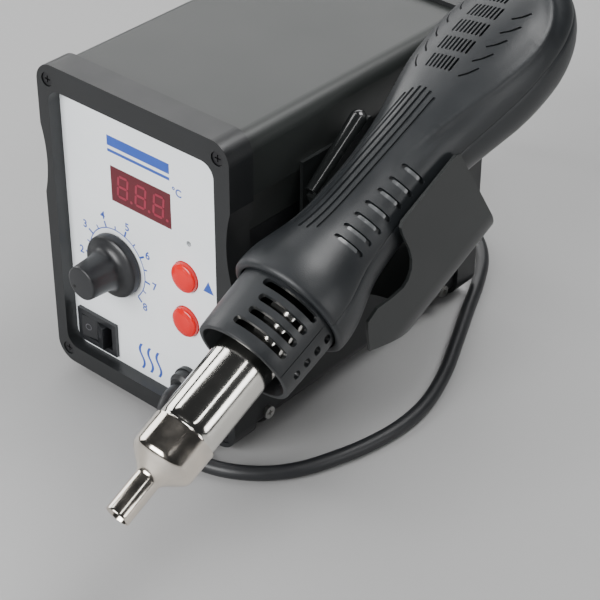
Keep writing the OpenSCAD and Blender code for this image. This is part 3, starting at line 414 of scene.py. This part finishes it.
def smooth_path(points, parts):
    """Points on a smooth curve through the given ones, with so many parts between each two."""
    last = len(points) - 1
    out = []
    for i in range(last):
        p = [Vector(points[min(max(k, 0), last)]) for k in (i - 1, i, i + 1, i + 2)]
        for t in (j / parts for j in range(parts)):
            out.append(0.5 * (2 * p[1] + (p[2] - p[0]) * t + (2 * p[0] - 5 * p[1] + 4 * p[2] - p[3]) * t * t
                              + (3 * p[1] - p[0] - 3 * p[2] + p[3]) * t ** 3))
    return out + [Vector(points[-1])]


# Share of a cutter's width that is left at its very end
BLUNT = 0.07


def skin_cutter(bm, path, width, depth, surface=skin, radius=skin_radius, rise=2.0, cuts=14, taper=0.0):
    """A bar with round ends that follows a path on a surface, for cutting a groove or slot into it."""
    length = sum(hypot(q[0] - p[0], radians(q[1] - p[1]) * radius(p[0], p[1]))
                 for p, q in zip(path, path[1:]))
    end = min(0.49, width / 2 / max(length, 0.01))

    def shape(u, v, w):
        # the cuts lie closer together towards the round ends
        u = 0.5 - 0.5 * cos(pi * u)
        s, a, ds, da = along(path, u)
        r = radius(s, a)
        across = Vector((-radians(da) * r, ds)).normalized()
        near = min(u, 1 - u)
        half = width / 2
        if near < end:
            half *= sqrt(max(0.0, 1 - ((end - near) / end) ** 2)) * (1 - BLUNT) + BLUNT
        if w < 0:
            half *= 1 - taper
        s2 = s + across.x * v * half
        a2 = a + across.y * v * half / radians(1) / r
        return surface(s2, a2, rise if w > 0 else -depth)

    bar(bm, cuts, shape)


# The ridge's line on the right-hand side: distance and angle
RIDGE = smooth_path([(160, 40), (172, 46), (184, 53), (198, 62), (212, 68), (226, 71), (238, 67), (248, 55),
                     (255, 35), (258, 0)], 7)
RIDGE_PLACES = [skin(s, a) for s, a in RIDGE]
RIDGE_HALF_WIDTH = 1.7


def ridge_rise(place, s, a, height):
    """Rise of the ridge that runs round the air intake, at a place on the skin."""
    if s < 150 or abs(a) > 92:
        return 0.0
    mirror = Vector((abs(place.x), place.y, place.z))
    near = min((mirror - q).length for q in RIDGE_PLACES)
    fade = min(1.0, max(0.0, (s - 156) / 26))
    return fade * height * exp(-(near / RIDGE_HALF_WIDTH) ** 2)


def handle_shell(side, looks):
    """One half of the handle as a wall with a rolled front lip: +1 is the upper half, -1 the lower one."""
    steps, split, wall = 88, 0.12, 1.9
    step_w, step_d = 0.9, 0.25
    height = looks.ridge_height / MM
    # each ring's distance, and how far it lies outside the skin: the front lip is rolled inward
    rings = [(97.4, -3.1), (96.6, -2.9), (96.0, -2.4), (95.75, -1.6), (95.75, -0.8), (96.1, -0.3),
             (96.8, -0.05)]
    s = 98.0
    while s < 260.8:
        rings.append((s, 0.0))
        # closer together where the ridge runs
        s += 1.15 if s > 156 else 1.6
    rings += [(261.3, -0.05), (261.9, -0.35), (262.15, -1.1), (262.15, -2.6)]

    def ring_places(s, off):
        out = []
        for i in range(steps + 1):
            a = 180 * i / steps - side * 90
            p = skin(s, a, off)
            rise = ridge_rise(p, s, a, height) if side > 0 else 0.0
            # a narrow step at the parting line
            edge = min(i, steps - i) / steps * pi * skin_radius(s, a)
            step = step_d * (1 - edge / step_w) if edge < step_w else 0.0
            p = skin(s, a, off + rise - step)
            p.z += side * split / 2
            out.append(p)
        return out

    bm = bmesh.new()
    row = [bm.verts.new(p) for p in ring_places(*rings[0])]
    edges = [bm.edges.new(pair) for pair in zip(row, row[1:])]
    for s, off in rings[1:]:
        made = bmesh.ops.extrude_edge_only(bm, edges=edges)["geom"]
        edges = [g for g in made if isinstance(g, bmesh.types.BMEdge)]
        new = {v for e in edges for v in e.verts}
        following = {e.other_vert(v): v for v in new for e in v.link_edges if e.other_vert(v) not in new}
        row = [following[v] for v in row]
        for v, p in zip(row, ring_places(s, off)):
            v.co = p
    bm.normal_update()
    outward = sum(f.normal.dot(Vector((f.calc_center_median().x, 0, f.calc_center_median().z)))
                  for f in bm.faces)
    if outward < 0:
        bmesh.ops.reverse_faces(bm, faces=bm.faces)
        bm.normal_update()
    bmesh.ops.solidify(bm, geom=bm.faces, thickness=wall)
    return bm


# Thumb grooves on each side of the handle: distance, and the angles where they start and end
THUMB_GROOVES = ((122.7, 36, 75), (128.3, 36, 76), (134.3, 37, 77), (140.3, 38, 77), (147, 40, 78),
                 (153.2, 42, 79), (160, 44, 80))


def painted_highlight_bars(depth):
    """A smooth raised bar of lighter grey in each thumb groove, a painted highlight for the shine of the
    groove's glossy side.
    """
    bm = bmesh.new()
    for s, a0, a1 in THUMB_GROOVES:
        for m in (-1, 1):
            path = [(s - 0.95, m * (a0 + 5)), (s - 0.25, m * (a1 - 8))]

            def surface(s2, a2, rise, middle=(s, (a0 + a1) / 2), reach=(a1 - a0) / 2):
                # the bar sinks into its groove towards both ends, so the painted highlight fades out there
                away = abs(abs(a2) - middle[1]) / reach
                return skin(s2, a2, rise - 0.5 * away ** 3 if rise > -1 else rise)
            skin_cutter(bm, path, 1.7, depth + 0.6, surface, cuts=14, rise=-0.1)
    return bm


def half_cutters(side, looks):
    """Grooves, ribs and air slits of one half of the handle."""
    bm = bmesh.new()
    if side > 0:
        depth = looks.groove_depth / MM
        for s, a0, a1 in THUMB_GROOVES:
            for m in (-1, 1):
                skin_cutter(bm, [(s - 0.6, m * a0), (s + 0.3, m * a1)], 2.7, depth, cuts=16, taper=0.35)
        # grooves between the five long ribs on top: angle and distance of both ends
        for a0, a1, s0, s1 in ((-40, -18, 121, 187), (-27, -11.5, 119.5, 189.5), (-13.5, -3, 118.5, 191),
                               (-2.5, 6, 118, 191), (7.5, 15.5, 118.5, 190), (16.5, 25, 120.5, 188)):
            skin_cutter(bm, smooth_path([(s0, a0), (150, a0 + (a1 - a0) * 0.35), (172, a0 + (a1 - a0) * 0.7),
                                         (s1, a1)], 9), 1.6, 0.75, cuts=30, rise=1.2, taper=0.35)
        # rows of intake slits
        for s, count in ((203.5, 7), (212.7, 8), (221.9, 8), (231.1, 8), (240.3, 6)):
            for k in range(count):
                a = (k - (count - 1) / 2) * 5.9
                skin_cutter(bm, [(s - 3.4, a), (s + 3.4, a)], 1.05, 5.0, cuts=6)
        # curved slits beside them
        for k, s in enumerate((199.5, 207.3, 215.1, 222.9, 230.7)):
            for m in (-1, 1):
                a = 31 + 2.0 * min(k, 3)
                slit = [(s, m * a), (s + 2.6, m * (a + 7)), (s + 6.4, m * (a + 12.5))]
                skin_cutter(bm, smooth_path(slit, 5), 0.8, 1.1, cuts=12)
    else:
        # intake rows underneath
        for s in (208, 217, 226, 235):
            for k in range(6):
                a = 180 + (k - 2.5) * 6.2
                skin_cutter(bm, [(s - 3.2, a), (s + 3.2, a)], 1.1, 5.0, cuts=6)
    return bm


# ---------------------------------------------------------------- print and lettering

PRINT_T = 0.04
PRINT_LIFT = PRINT_T / 2

def flat_text(word, size):
    """A word as a closed mesh in X and Y, centred, in millimetres."""
    curve = bpy.data.curves.new("lettering", "FONT")
    curve.body = word
    curve.size = size
    curve.align_x = "CENTER"
    curve.align_y = "CENTER"
    curve.extrude = PRINT_T / 2
    curve.offset = 0.02 * size
    holder = bpy.data.objects.new("lettering", curve)
    bpy.context.scene.collection.objects.link(holder)
    bpy.context.view_layer.update()
    mesh = bpy.data.meshes.new_from_object(holder.evaluated_get(bpy.context.evaluated_depsgraph_get()))
    bpy.data.objects.remove(holder)
    bpy.data.curves.remove(curve)
    return mesh


def on_panel(x, z, lift=PRINT_LIFT, turn=0.0):
    """From flat print in X and Y to the front panel's face."""
    return (Matrix.Translation((x, PANEL_Y - lift, z)) @ Matrix.Rotation(radians(90), 4, "X")
            @ Matrix.Rotation(radians(turn), 4, "Z"))


def add_text(bm, word, size, x, z):
    """Adds lettering on the panel to a bmesh."""
    mesh = flat_text(word, size)
    mesh.transform(on_panel(x, z))
    bm.from_mesh(mesh)
    bpy.data.meshes.remove(mesh)


def add_bar(bm, length, width, matrix):
    """A thin printed bar with its middle at the matrix's place."""
    bmesh.ops.create_cube(bm, size=1.0, matrix=matrix @ Matrix.Diagonal((length, width, PRINT_T, 1)))


def add_arc(bm, r, width, a0, a1, x, z):
    """A thin printed arc, angles in degrees counted clockwise from straight up."""
    def shape(u, v, w):
        a = radians(a0 + (a1 - a0) * u)
        rr = r + v * width / 2
        return on_panel(x, z) @ Vector((rr * sin(a), rr * cos(a), w * PRINT_T / 2))
    bar(bm, 40, shape)


# ---------------------------------------------------------------- operators

# Soft lights: name, place and size in metres, share of the main light's power
LIGHTS = (
    ("key", (0.32, 0.52, 1.25), (0.7, 0.7), 0.55),
    ("back_left", (-1.0, 1.15, 1.0), (1.5, 1.1), 0.50),
    ("front", (-0.1, -1.5, 0.85), (1.3, 0.8), 1.60),
    ("top_left", (-0.78, -0.15, 1.25), (0.22, 0.8), 0.10),
    ("right", (1.3, 0.25, 0.36), (0.6, 0.35), 0.13),
    ("left", (-1.25, 0.05, 0.5), (1.1, 0.6), 0.35),
    ("right_strip", (0.95, -0.1, 1.1), (0.9, 0.10), 0.08),
)
# The camera's place in the case's millimetres, its three directions and its focal length
EYE_AT = (441.03, -485.21, 471.27)
EYE_RIGHT = (0.75067, 0.66067, 0.00319)
EYE_UP = (-0.38046, 0.42833, 0.81963)
EYE_BACK = (0.54014, -0.61648, 0.57289)
EYE_LENS = 112.45


def looks_of(context):
    return context.scene.station_looks


class STATION_OT_stage(bpy.types.Operator):
    """Floor, soft lights and the camera"""
    bl_idname = "station.stage"
    bl_label = "Studio"

    def execute(self, context):
        studio = context.scene.studio_looks
        bm = bmesh.new()
        bmesh.ops.create_grid(bm, x_segments=1, y_segments=1, size=studio.floor_half)
        mesh = bpy.data.meshes.new("floor")
        bm.to_mesh(mesh)
        bm.free()
        mesh.materials.append(finish("floor_paint", studio.floor_colour, 0.55, grain=400, grain_height=0.01,
                                     mottle=0.02, mottle_scale=3))
        floor = bpy.data.objects.new("floor", mesh)
        context.scene.collection.objects.link(floor)
        self.lights(context, studio)
        self.camera(context)
        return {"FINISHED"}

    def lights(self, context, studio):
        """Large soft lights, each facing the station."""
        world = bpy.data.worlds.new("surroundings")
        context.scene.world = world
        world.use_nodes = True
        sky = world.node_tree.nodes["Background"]
        sky.inputs["Color"].default_value = (0.93, 0.96, 1.0, 1)
        sky.inputs["Strength"].default_value = studio.world_level
        aim = Vector((0, 0, 0.08))
        for name, at, size, share in LIGHTS:
            lamp = bpy.data.lights.new(name, "AREA")
            lamp.shape = "RECTANGLE"
            lamp.size, lamp.size_y = size
            lamp.energy = studio.key_power * share
            holder = bpy.data.objects.new(name, lamp)
            holder.location = at
            holder.rotation_euler = (aim - Vector(at)).to_track_quat("-Z", "Y").to_euler()
            context.scene.collection.objects.link(holder)

    def camera(self, context):
        """The camera above the right front corner."""
        lens = bpy.data.cameras.new("camera")
        lens.lens = EYE_LENS
        lens.sensor_width = 36
        lens.clip_end = 50
        eye = bpy.data.objects.new("camera", lens)
        turn = Matrix((EYE_RIGHT, EYE_UP, EYE_BACK)).transposed().to_4x4()
        eye.matrix_world = Matrix.Translation(CASE @ Vector(EYE_AT)) @ turn
        context.scene.collection.objects.link(eye)
        context.scene.camera = eye


class STATION_OT_cord(bpy.types.Operator):
    """The handset's cord, from the gland round the case to the handset"""
    bl_idname = "station.cord"
    bl_label = "Handset cord"

    def execute(self, context):
        path = [CASE @ p for p in smooth_path(ROUTE, 4)]
        curve = bpy.data.curves.new("cord_line", "CURVE")
        curve.dimensions = "3D"
        curve.bevel_depth = CORD_R * MM
        curve.bevel_resolution = 6
        curve.use_fill_caps = True
        line = curve.splines.new("POLY")
        line.points.add(len(path) - 1)
        for point, p in zip(line.points, path):
            point.co = (*p, 1)
        holder = bpy.data.objects.new("cord_line", curve)
        context.scene.collection.objects.link(holder)
        context.view_layer.update()
        mesh = bpy.data.meshes.new_from_object(holder.evaluated_get(context.evaluated_depsgraph_get()))
        bpy.data.objects.remove(holder)
        bpy.data.curves.remove(curve)
        mesh.name = "handset_cord"
        mesh.materials.clear()
        mesh.materials.append(case_finishes(looks_of(context))["cord_black"])
        mesh.shade_smooth()
        mesh.set_sharp_from_angle(angle=radians(50))
        piece = bpy.data.objects.new("handset_cord", mesh)
        context.scene.collection.objects.link(piece)
        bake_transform(piece)
        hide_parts("gun_cord")
        return {"FINISHED"}


class STATION_OT_finishes(bpy.types.Operator):
    """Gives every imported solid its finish, by its slot in the record"""
    bl_idname = "station.finishes"
    bl_label = "Finishes of the solids"

    def execute(self, context):
        made = case_finishes(looks_of(context))
        for row in frame["record"]["subparts"]:
            solid = NODES[row["node"]]
            name = "nozzle_nickel" if row["node"] == "nozzle" else row["material_slot"]
            if not solid.material_slots:
                raise RuntimeError(row["node"] + " has no material slot")
            for place in solid.material_slots:
                place.material = made[name]
        return {"FINISHED"}


class STATION_OT_dial(bpy.types.Operator):
    """Printed scale, numbers and signs on the front panel"""
    bl_idname = "station.dial"
    bl_label = "Panel print"

    def execute(self, context):
        made = case_finishes(looks_of(context))
        x, z = KNOB_AT
        bm = bmesh.new()
        # the scale: eight long ticks with half ticks between them
        start, sweep = -135.0, 270.0
        scale_r, tick_from, long_to, short_to, number_r = 15.4, 15.6, 18.2, 17.2, 20.6
        add_arc(bm, scale_r, 0.45, start, start + sweep, x, z)
        for k in range(15):
            angle = start + sweep * k / 14
            across, rise = sin(radians(angle)), cos(radians(angle))
            main = k % 2 == 0
            tick_to = long_to if main else short_to
            mid = (tick_from + tick_to) / 2
            add_bar(bm, tick_to - tick_from, 0.85 if main else 0.6,
                    on_panel(x + mid * across, z + mid * rise, turn=90 - angle))
            if main:
                add_text(bm, str(k // 2 + 1), 4.9, x + number_r * across, z + number_r * rise)
        # rising and falling signs beside the buttons
        for at, up in ((UP_AT, 1), (DOWN_AT, -1)):
            corners = [(-2.7, -2.2), (2.7, -2.2), (0, 2.9)]
            place = on_panel(at[0] + 11.9, at[1], PRINT_T)
            face = bm.faces.new([bm.verts.new(place @ Vector((cx, up * cy, 0))) for cx, cy in corners[::up]])
            back = bmesh.ops.extrude_face_region(bm, geom=[face])["geom"]
            bmesh.ops.translate(bm, vec=(0, PRINT_T, 0),
                                verts=[v for v in back if isinstance(v, bmesh.types.BMVert)])
        # a plain double band at the top, and a heat sign of three waves
        add_bar(bm, 33, 4.4, on_panel(-2.6, FOOT_H + 112.4))
        add_bar(bm, 33, 1.3, on_panel(-2.6, FOOT_H + 108.1))
        for wave_x in (-6.0, -1.3, 3.4):

            def wave(u, v, w, wave_x=wave_x):
                return on_panel(wave_x, FOOT_H + 17.0) @ Vector(
                    (1.2 * sin(2 * pi * u) + 0.65 * v, (u - 0.5) * 12, w * PRINT_T / 2))
            bar(bm, 20, wave)
        add_text(bm, "°C", 4.6, 17.5, FOOT_H + 103.6)
        place_piece("panel_print", bm, CASE, made["panel_print"], "station")
        return {"FINISHED"}


class STATION_OT_display(bpy.types.Operator):
    """Unlit figures behind the display's red window, with a faint painted glow from their finish"""
    bl_idname = "station.display"
    bl_label = "Display figures"

    def execute(self, context):
        made = case_finishes(looks_of(context))
        x, z = DISPLAY_AT
        bm = bmesh.new()
        lift, lean = 0.13, 0.10
        size_x, size_z, thick, pitch = 5.0, 9.2, 1.05, 9.6

        def stroke(cx, ax, az, bx, bz):
            a, b = Vector((ax + lean * az, az, 0)), Vector((bx + lean * bz, bz, 0))
            d = b - a
            place = (on_panel(x + cx, z, lift) @ Matrix.Translation((a + b) / 2)
                     @ Matrix.Rotation(atan2(d.y, d.x), 4, "Z"))

            def shape(u, v, w):
                point = 1 if abs(u - 0.5) < 0.45 else 0.12
                return place @ Vector(((u - 0.5) * (d.length - 0.5), v * thick / 2 * point, w * 0.03))
            bar(bm, 9, shape)

        for cx in (-pitch, 0, pitch):
            w, h = size_x / 2, size_z / 2
            for ends in ((-w, h, w, h), (-w, 0, w, 0), (-w, -h, w, -h), (-w, 0, -w, h), (w, 0, w, h),
                         (-w, -h, -w, 0), (w, -h, w, 0)):
                stroke(cx, *ends)
            bmesh.ops.create_cone(
                bm, cap_ends=True, segments=16, radius1=0.65, radius2=0.65, depth=0.06,
                matrix=on_panel(x + cx + w + 1.9, z - h, lift))
        place_piece("display_figures", bm, CASE, made["ghost_digit"], "station")
        return {"FINISHED"}


class STATION_OT_knob(bpy.types.Operator):
    """The air knob with its skirt, grip and pointer dot"""
    bl_idname = "station.knob"
    bl_label = "Air knob"

    def execute(self, context):
        made = case_finishes(looks_of(context))
        bm = bmesh.new()
        profile = [(0, 0), (13.1, 0), (13.45, 0.25), (13.5, 0.7), (13.45, 3.0), (13.2, 3.5), (12.3, 4.1),
                   (11.2, 4.5), (10.0, 5.0), (9.0, 5.8), (8.3, 6.9), (8.0, 8.2), (7.85, 10), (7.5, 15),
                   (7.25, 18.3), (7.1, 18.8), (6.7, 19.1), (6.2, 19.2), (0, 19.15)]
        lathe(bm, profile, steps=120)
        turn = Matrix.Translation((KNOB_AT[0], PANEL_Y - 0.5, KNOB_AT[1])) @ Matrix.Rotation(pi, 4, "Z")
        place_piece("air_knob_grip", bm, CASE @ turn, made["knob_black"], "air_knob",
                    ("air_knob",), sharp=40)
        bm = bmesh.new()
        a, dot_out, dot_lift = radians(236), 4.6, 19.7
        bmesh.ops.create_cone(bm, cap_ends=True, segments=24, radius1=0.7, radius2=0.7, depth=0.1,
                              matrix=on_panel(KNOB_AT[0] + dot_out * sin(a), KNOB_AT[1] + dot_out * cos(a),
                                              dot_lift))
        place_piece("air_knob_dot", bm, CASE, made["dark_dot"], "air_knob")
        return {"FINISHED"}


class STATION_OT_buttons(bpy.types.Operator):
    """Domed push buttons"""
    bl_idname = "station.buttons"
    bl_label = "Push buttons"

    def execute(self, context):
        made = case_finishes(looks_of(context))
        for name, at in (("up_button", UP_AT), ("down_button", DOWN_AT)):
            bm = bmesh.new()
            r, edge_r, edge_at, rise = 6.35, 1.3, 1.0, 0.95
            edge = [(r - edge_r + edge_r * sin(radians(t)), edge_at + edge_r * cos(radians(t)))
                    for t in range(84, 0, -12)]
            crown = [((r - edge_r) * cos(radians(t)), edge_at + edge_r + rise * sin(radians(t)))
                     for t in range(15, 90, 15)]
            flange = [(0, -1.8), (r + 0.9, -1.8), (r + 0.9, -1.7), (r, -1.7), (r, edge_at - 0.1)]
            lathe(bm, flange + edge + crown + [(0, edge_at + edge_r + rise)], steps=72)
            turn = Matrix.Translation((at[0], PANEL_Y, at[1])) @ Matrix.Rotation(pi, 4, "Z")
            place_piece(name + "_dome", bm, CASE @ turn, made["button_red"], name, (name,))
        return {"FINISHED"}


class STATION_OT_switch(bpy.types.Operator):
    """The mark on the power switch's rocker"""
    bl_idname = "station.switch"
    bl_label = "Power switch mark"

    def execute(self, context):
        made = case_finishes(looks_of(context))
        bm = bmesh.new()
        rocker = (Matrix.Translation((SWITCH_AT[0], PANEL_Y + 5, SWITCH_AT[1]))
                  @ Matrix.Rotation(radians(-9), 4, "Z"))
        out, forward, slope = 4.0, -7.25, atan2(2.3, 7.3)
        ring = Matrix.Translation((-out, forward, 0)) @ Matrix.Rotation(slope, 4, "Z")
        lathe(bm, [(1.2, 0.04), (1.55, 0.04), (1.55, -0.06), (1.2, -0.06)], steps=32, closed=True)
        bmesh.ops.transform(bm, matrix=rocker @ ring, verts=bm.verts)
        line = Matrix.Translation((out, forward, 0)) @ Matrix.Rotation(-slope, 4, "Z")
        bmesh.ops.create_cube(bm, size=1.0, matrix=rocker @ line @ Matrix.Diagonal((0.4, 0.1, 2.8, 1)))
        place_piece("switch_marks", bm, CASE, made["grey_mark"], "switch_rocker")
        return {"FINISHED"}


class STATION_OT_holder(bpy.types.Operator):
    """Glossy skin on the holder's rolled edge"""
    bl_idname = "station.holder"
    bl_label = "Holder's rolled edge"

    def execute(self, context):
        made = case_finishes(looks_of(context))
        small, large, length = 2.46, 3.56, 33.5
        dome = [(large * cos(radians(t)), length + large * sin(radians(t))) for t in range(10, 90, 10)]
        bm = bmesh.new()
        lathe(bm, [(0, -0.06), (small - 0.3, -0.06), (small, 0.2), (large, length)] + dome
              + [(0, length + large)], steps=64)
        place = (HOLDER @ Matrix.Translation((-HOLDER_CLEAR / 2 - ROLL_FRONT_R, 140, 3.4))
                 @ Matrix.Rotation(radians(8.8), 4, "X")
                 @ Matrix.Rotation(atan2(large - small, length), 4, "Z"))
        place_piece("holder_roll", bm, place, made["roll_gloss"], "station")
        return {"FINISHED"}


class STATION_OT_handle(bpy.types.Operator):
    """Both halves of the handle, with thumb grooves, ribs and air slits, and light bars in the thumb grooves
    as painted highlights
    """
    bl_idname = "station.handle"
    bl_label = "Handle"

    def execute(self, context):
        looks = looks_of(context)
        made = case_finishes(looks)
        for name, side in (("handle_top", 1), ("handle_bottom", -1)):
            bm = handle_shell(side, looks)
            piece = place_piece(name + "_shell", bm, GUN, made["handle_black"], "handset",
                                (name,), recalc=False)
            cut_away(piece, half_cutters(side, looks), GUN)
        # lighter bars laid in the thumb grooves as painted highlights
        place_piece("thumb_groove_highlights", painted_highlight_bars(looks.groove_depth / MM), GUN, made["painted_groove_highlight"], "handset",
                    sharp=60)
        return {"FINISHED"}


class STATION_OT_guard(bpy.types.Operator):
    """The slotted guard round the barrel"""
    bl_idname = "station.guard"
    bl_label = "Barrel guard"

    def execute(self, context):
        made = case_finishes(looks_of(context))
        bm = bmesh.new()
        lathe(bm, [(17.7, 70.2), (17.9, 70.0), (19.1, 70.0), (19.5, 70.25), (19.7, 70.8), (19.9, 76),
                   (20.2, 84), (20.35, 92), (20.4, 95.4), (20.4, 104), (18.3, 104), (18.2, 95), (17.9, 84),
                   (17.7, 74)], steps=ROUND_STEPS, closed=True)
        piece = place_piece("barrel_guard_shell", bm, GUN, made["handle_black"], "handset",
                            ("barrel_guard",))

        def radius(s, a):
            return 19.7 + (s - 70) * 0.028

        def surface(s, a, rise=0.0):
            r = radius(s, a) + rise
            return Vector((r * sin(radians(a)), s, r * cos(radians(a))))

        def slot(s, width, a0, a1, deep=4.0):
            count = max(2, int(abs(a1 - a0) / 8))
            path = [(s, a0 + (a1 - a0) * k / count) for k in range(count + 1)]
            skin_cutter(cutters, path, width, deep, surface, radius, cuts=18)

        cutters = bmesh.new()
        for row in range(4):
            s = 76.2 + 5.7 * row
            slot(s, 3.1, 9 if row % 3 == 0 else 16, 78)
            for m in (-1, 1):
                slot(s, 3.1, m * 101, m * 113)
                slot(s, 3.1, 180 + m * 9, 180 + m * 48)
        # the line where the guard's two halves meet
        for m in (-1, 1):
            skin_cutter(cutters, [(69.0, m * 89.5), (94.6, m * 89.5)], 0.35, 0.3, surface, radius, cuts=4)
        cut_away(piece, cutters, GUN)
        return {"FINISHED"}


class STATION_OT_nozzle(bpy.types.Operator):
    """Barrel and push-on nozzle of plated sheet"""
    bl_idname = "station.nozzle"
    bl_label = "Barrel and nozzle"

    def execute(self, context):
        made = case_finishes(looks_of(context))
        bm = bmesh.new()
        lathe(bm, [
            (4.3, 0.15), (4.42, 0.0), (4.8, 0.0), (4.95, 0.2), (4.9, 0.9), (4.9, 16.2), (5.0, 16.8),
            (5.5, 17.6), (6.4, 18.6), (9.6, 21.2), (11.4, 22.8), (12.2, 23.9), (12.5, 25.2), (12.5, 36.2),
            (12.62, 36.5),
            (12.6, 37.0), (11.95, 37.0), (11.9, 25.4), (11.5, 24.0), (10.6, 22.9), (5.8, 18.9), (4.5, 17.8),
            (4.3, 16.9)], steps=ROUND_STEPS, closed=True)
        place_piece("nozzle_shell", bm, GUN, made["nozzle_nickel"], "nozzle", ("nozzle",), sharp=50)
        bm = bmesh.new()
        lathe(bm, [(11.2, 26.0), (11.8, 26.0), (11.8, 36.9), (11.35, 37.3), (11.35, 37.8), (11.6, 38.4),
                   (11.78, 39.3), (11.8, 41), (11.8, 117.9), (11.2, 117.9)], steps=ROUND_STEPS, closed=True)
        place_piece("barrel_shell", bm, GUN, made["nickel"], "handset", ("barrel_tube",), sharp=50)
        return {"FINISHED"}


class STATION_OT_boot(bpy.types.Operator):
    """Ribbed strain relief at the handset's rear end"""
    bl_idname = "station.boot"
    bl_label = "Cord boot"

    def execute(self, context):
        made = case_finishes(looks_of(context))
        profile = [(0, 257), (8.7, 257.1), (8.8, 257.8), (7, 258.1), (7, 262.4), (8.7, 262.45), (9, 262.9)]
        for k in range(10):
            d = 264.5 + 3.1 * k
            t = (d - 264.5) / 31
            r = 9 - 0.5 * t - 3.6 * max(0, t - 0.35)
            profile += [(r, d), (r, d + 1.7), (r - 0.65, d + 2.1), (r - 0.7, d + 2.7)]
        profile += [(4.65, 296.4), (4.3, 296.95), (0, 297)]
        bm = bmesh.new()
        lathe(bm, profile, steps=64)
        place_piece("cord_boot_ribbed", bm, GUN, made["rubber"], "handset", ("cord_boot",),
                    sharp=40)
        return {"FINISHED"}


class STATION_PT_panel(bpy.types.Panel):
    """Pieces and finishes of the station"""
    bl_label = "Hot Air Station"
    bl_idname = "STATION_PT_panel"
    bl_space_type = "VIEW_3D"
    bl_region_type = "UI"
    bl_category = "Hot Air Station"

    def draw(self, context):
        for group in (context.scene.station_looks, context.scene.studio_looks):
            for name in group.bl_rna.properties.keys():
                if name not in ("rna_type", "name"):
                    self.layout.prop(group, name)
        for operator in OPERATORS:
            self.layout.operator(operator.bl_idname)


OPERATORS = (
    STATION_OT_stage, STATION_OT_cord, STATION_OT_finishes, STATION_OT_dial, STATION_OT_display,
    STATION_OT_knob, STATION_OT_buttons, STATION_OT_switch, STATION_OT_holder, STATION_OT_handle,
    STATION_OT_guard, STATION_OT_nozzle, STATION_OT_boot,
)
CLASSES = (StationLooks, StudioLooks, *OPERATORS, STATION_PT_panel)


def register():
    for cls in CLASSES:
        bpy.utils.register_class(cls)
    bpy.types.Scene.station_looks = PointerProperty(type=StationLooks)
    bpy.types.Scene.studio_looks = PointerProperty(type=StudioLooks)


def unregister():
    del bpy.types.Scene.studio_looks
    del bpy.types.Scene.station_looks
    for cls in reversed(CLASSES):
        bpy.utils.unregister_class(cls)


def main():
    register()
    for operator in OPERATORS:
        group, name = operator.bl_idname.split(".")
        getattr(getattr(bpy.ops, group), name)()
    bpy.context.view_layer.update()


if __name__ == "__main__":
    main()
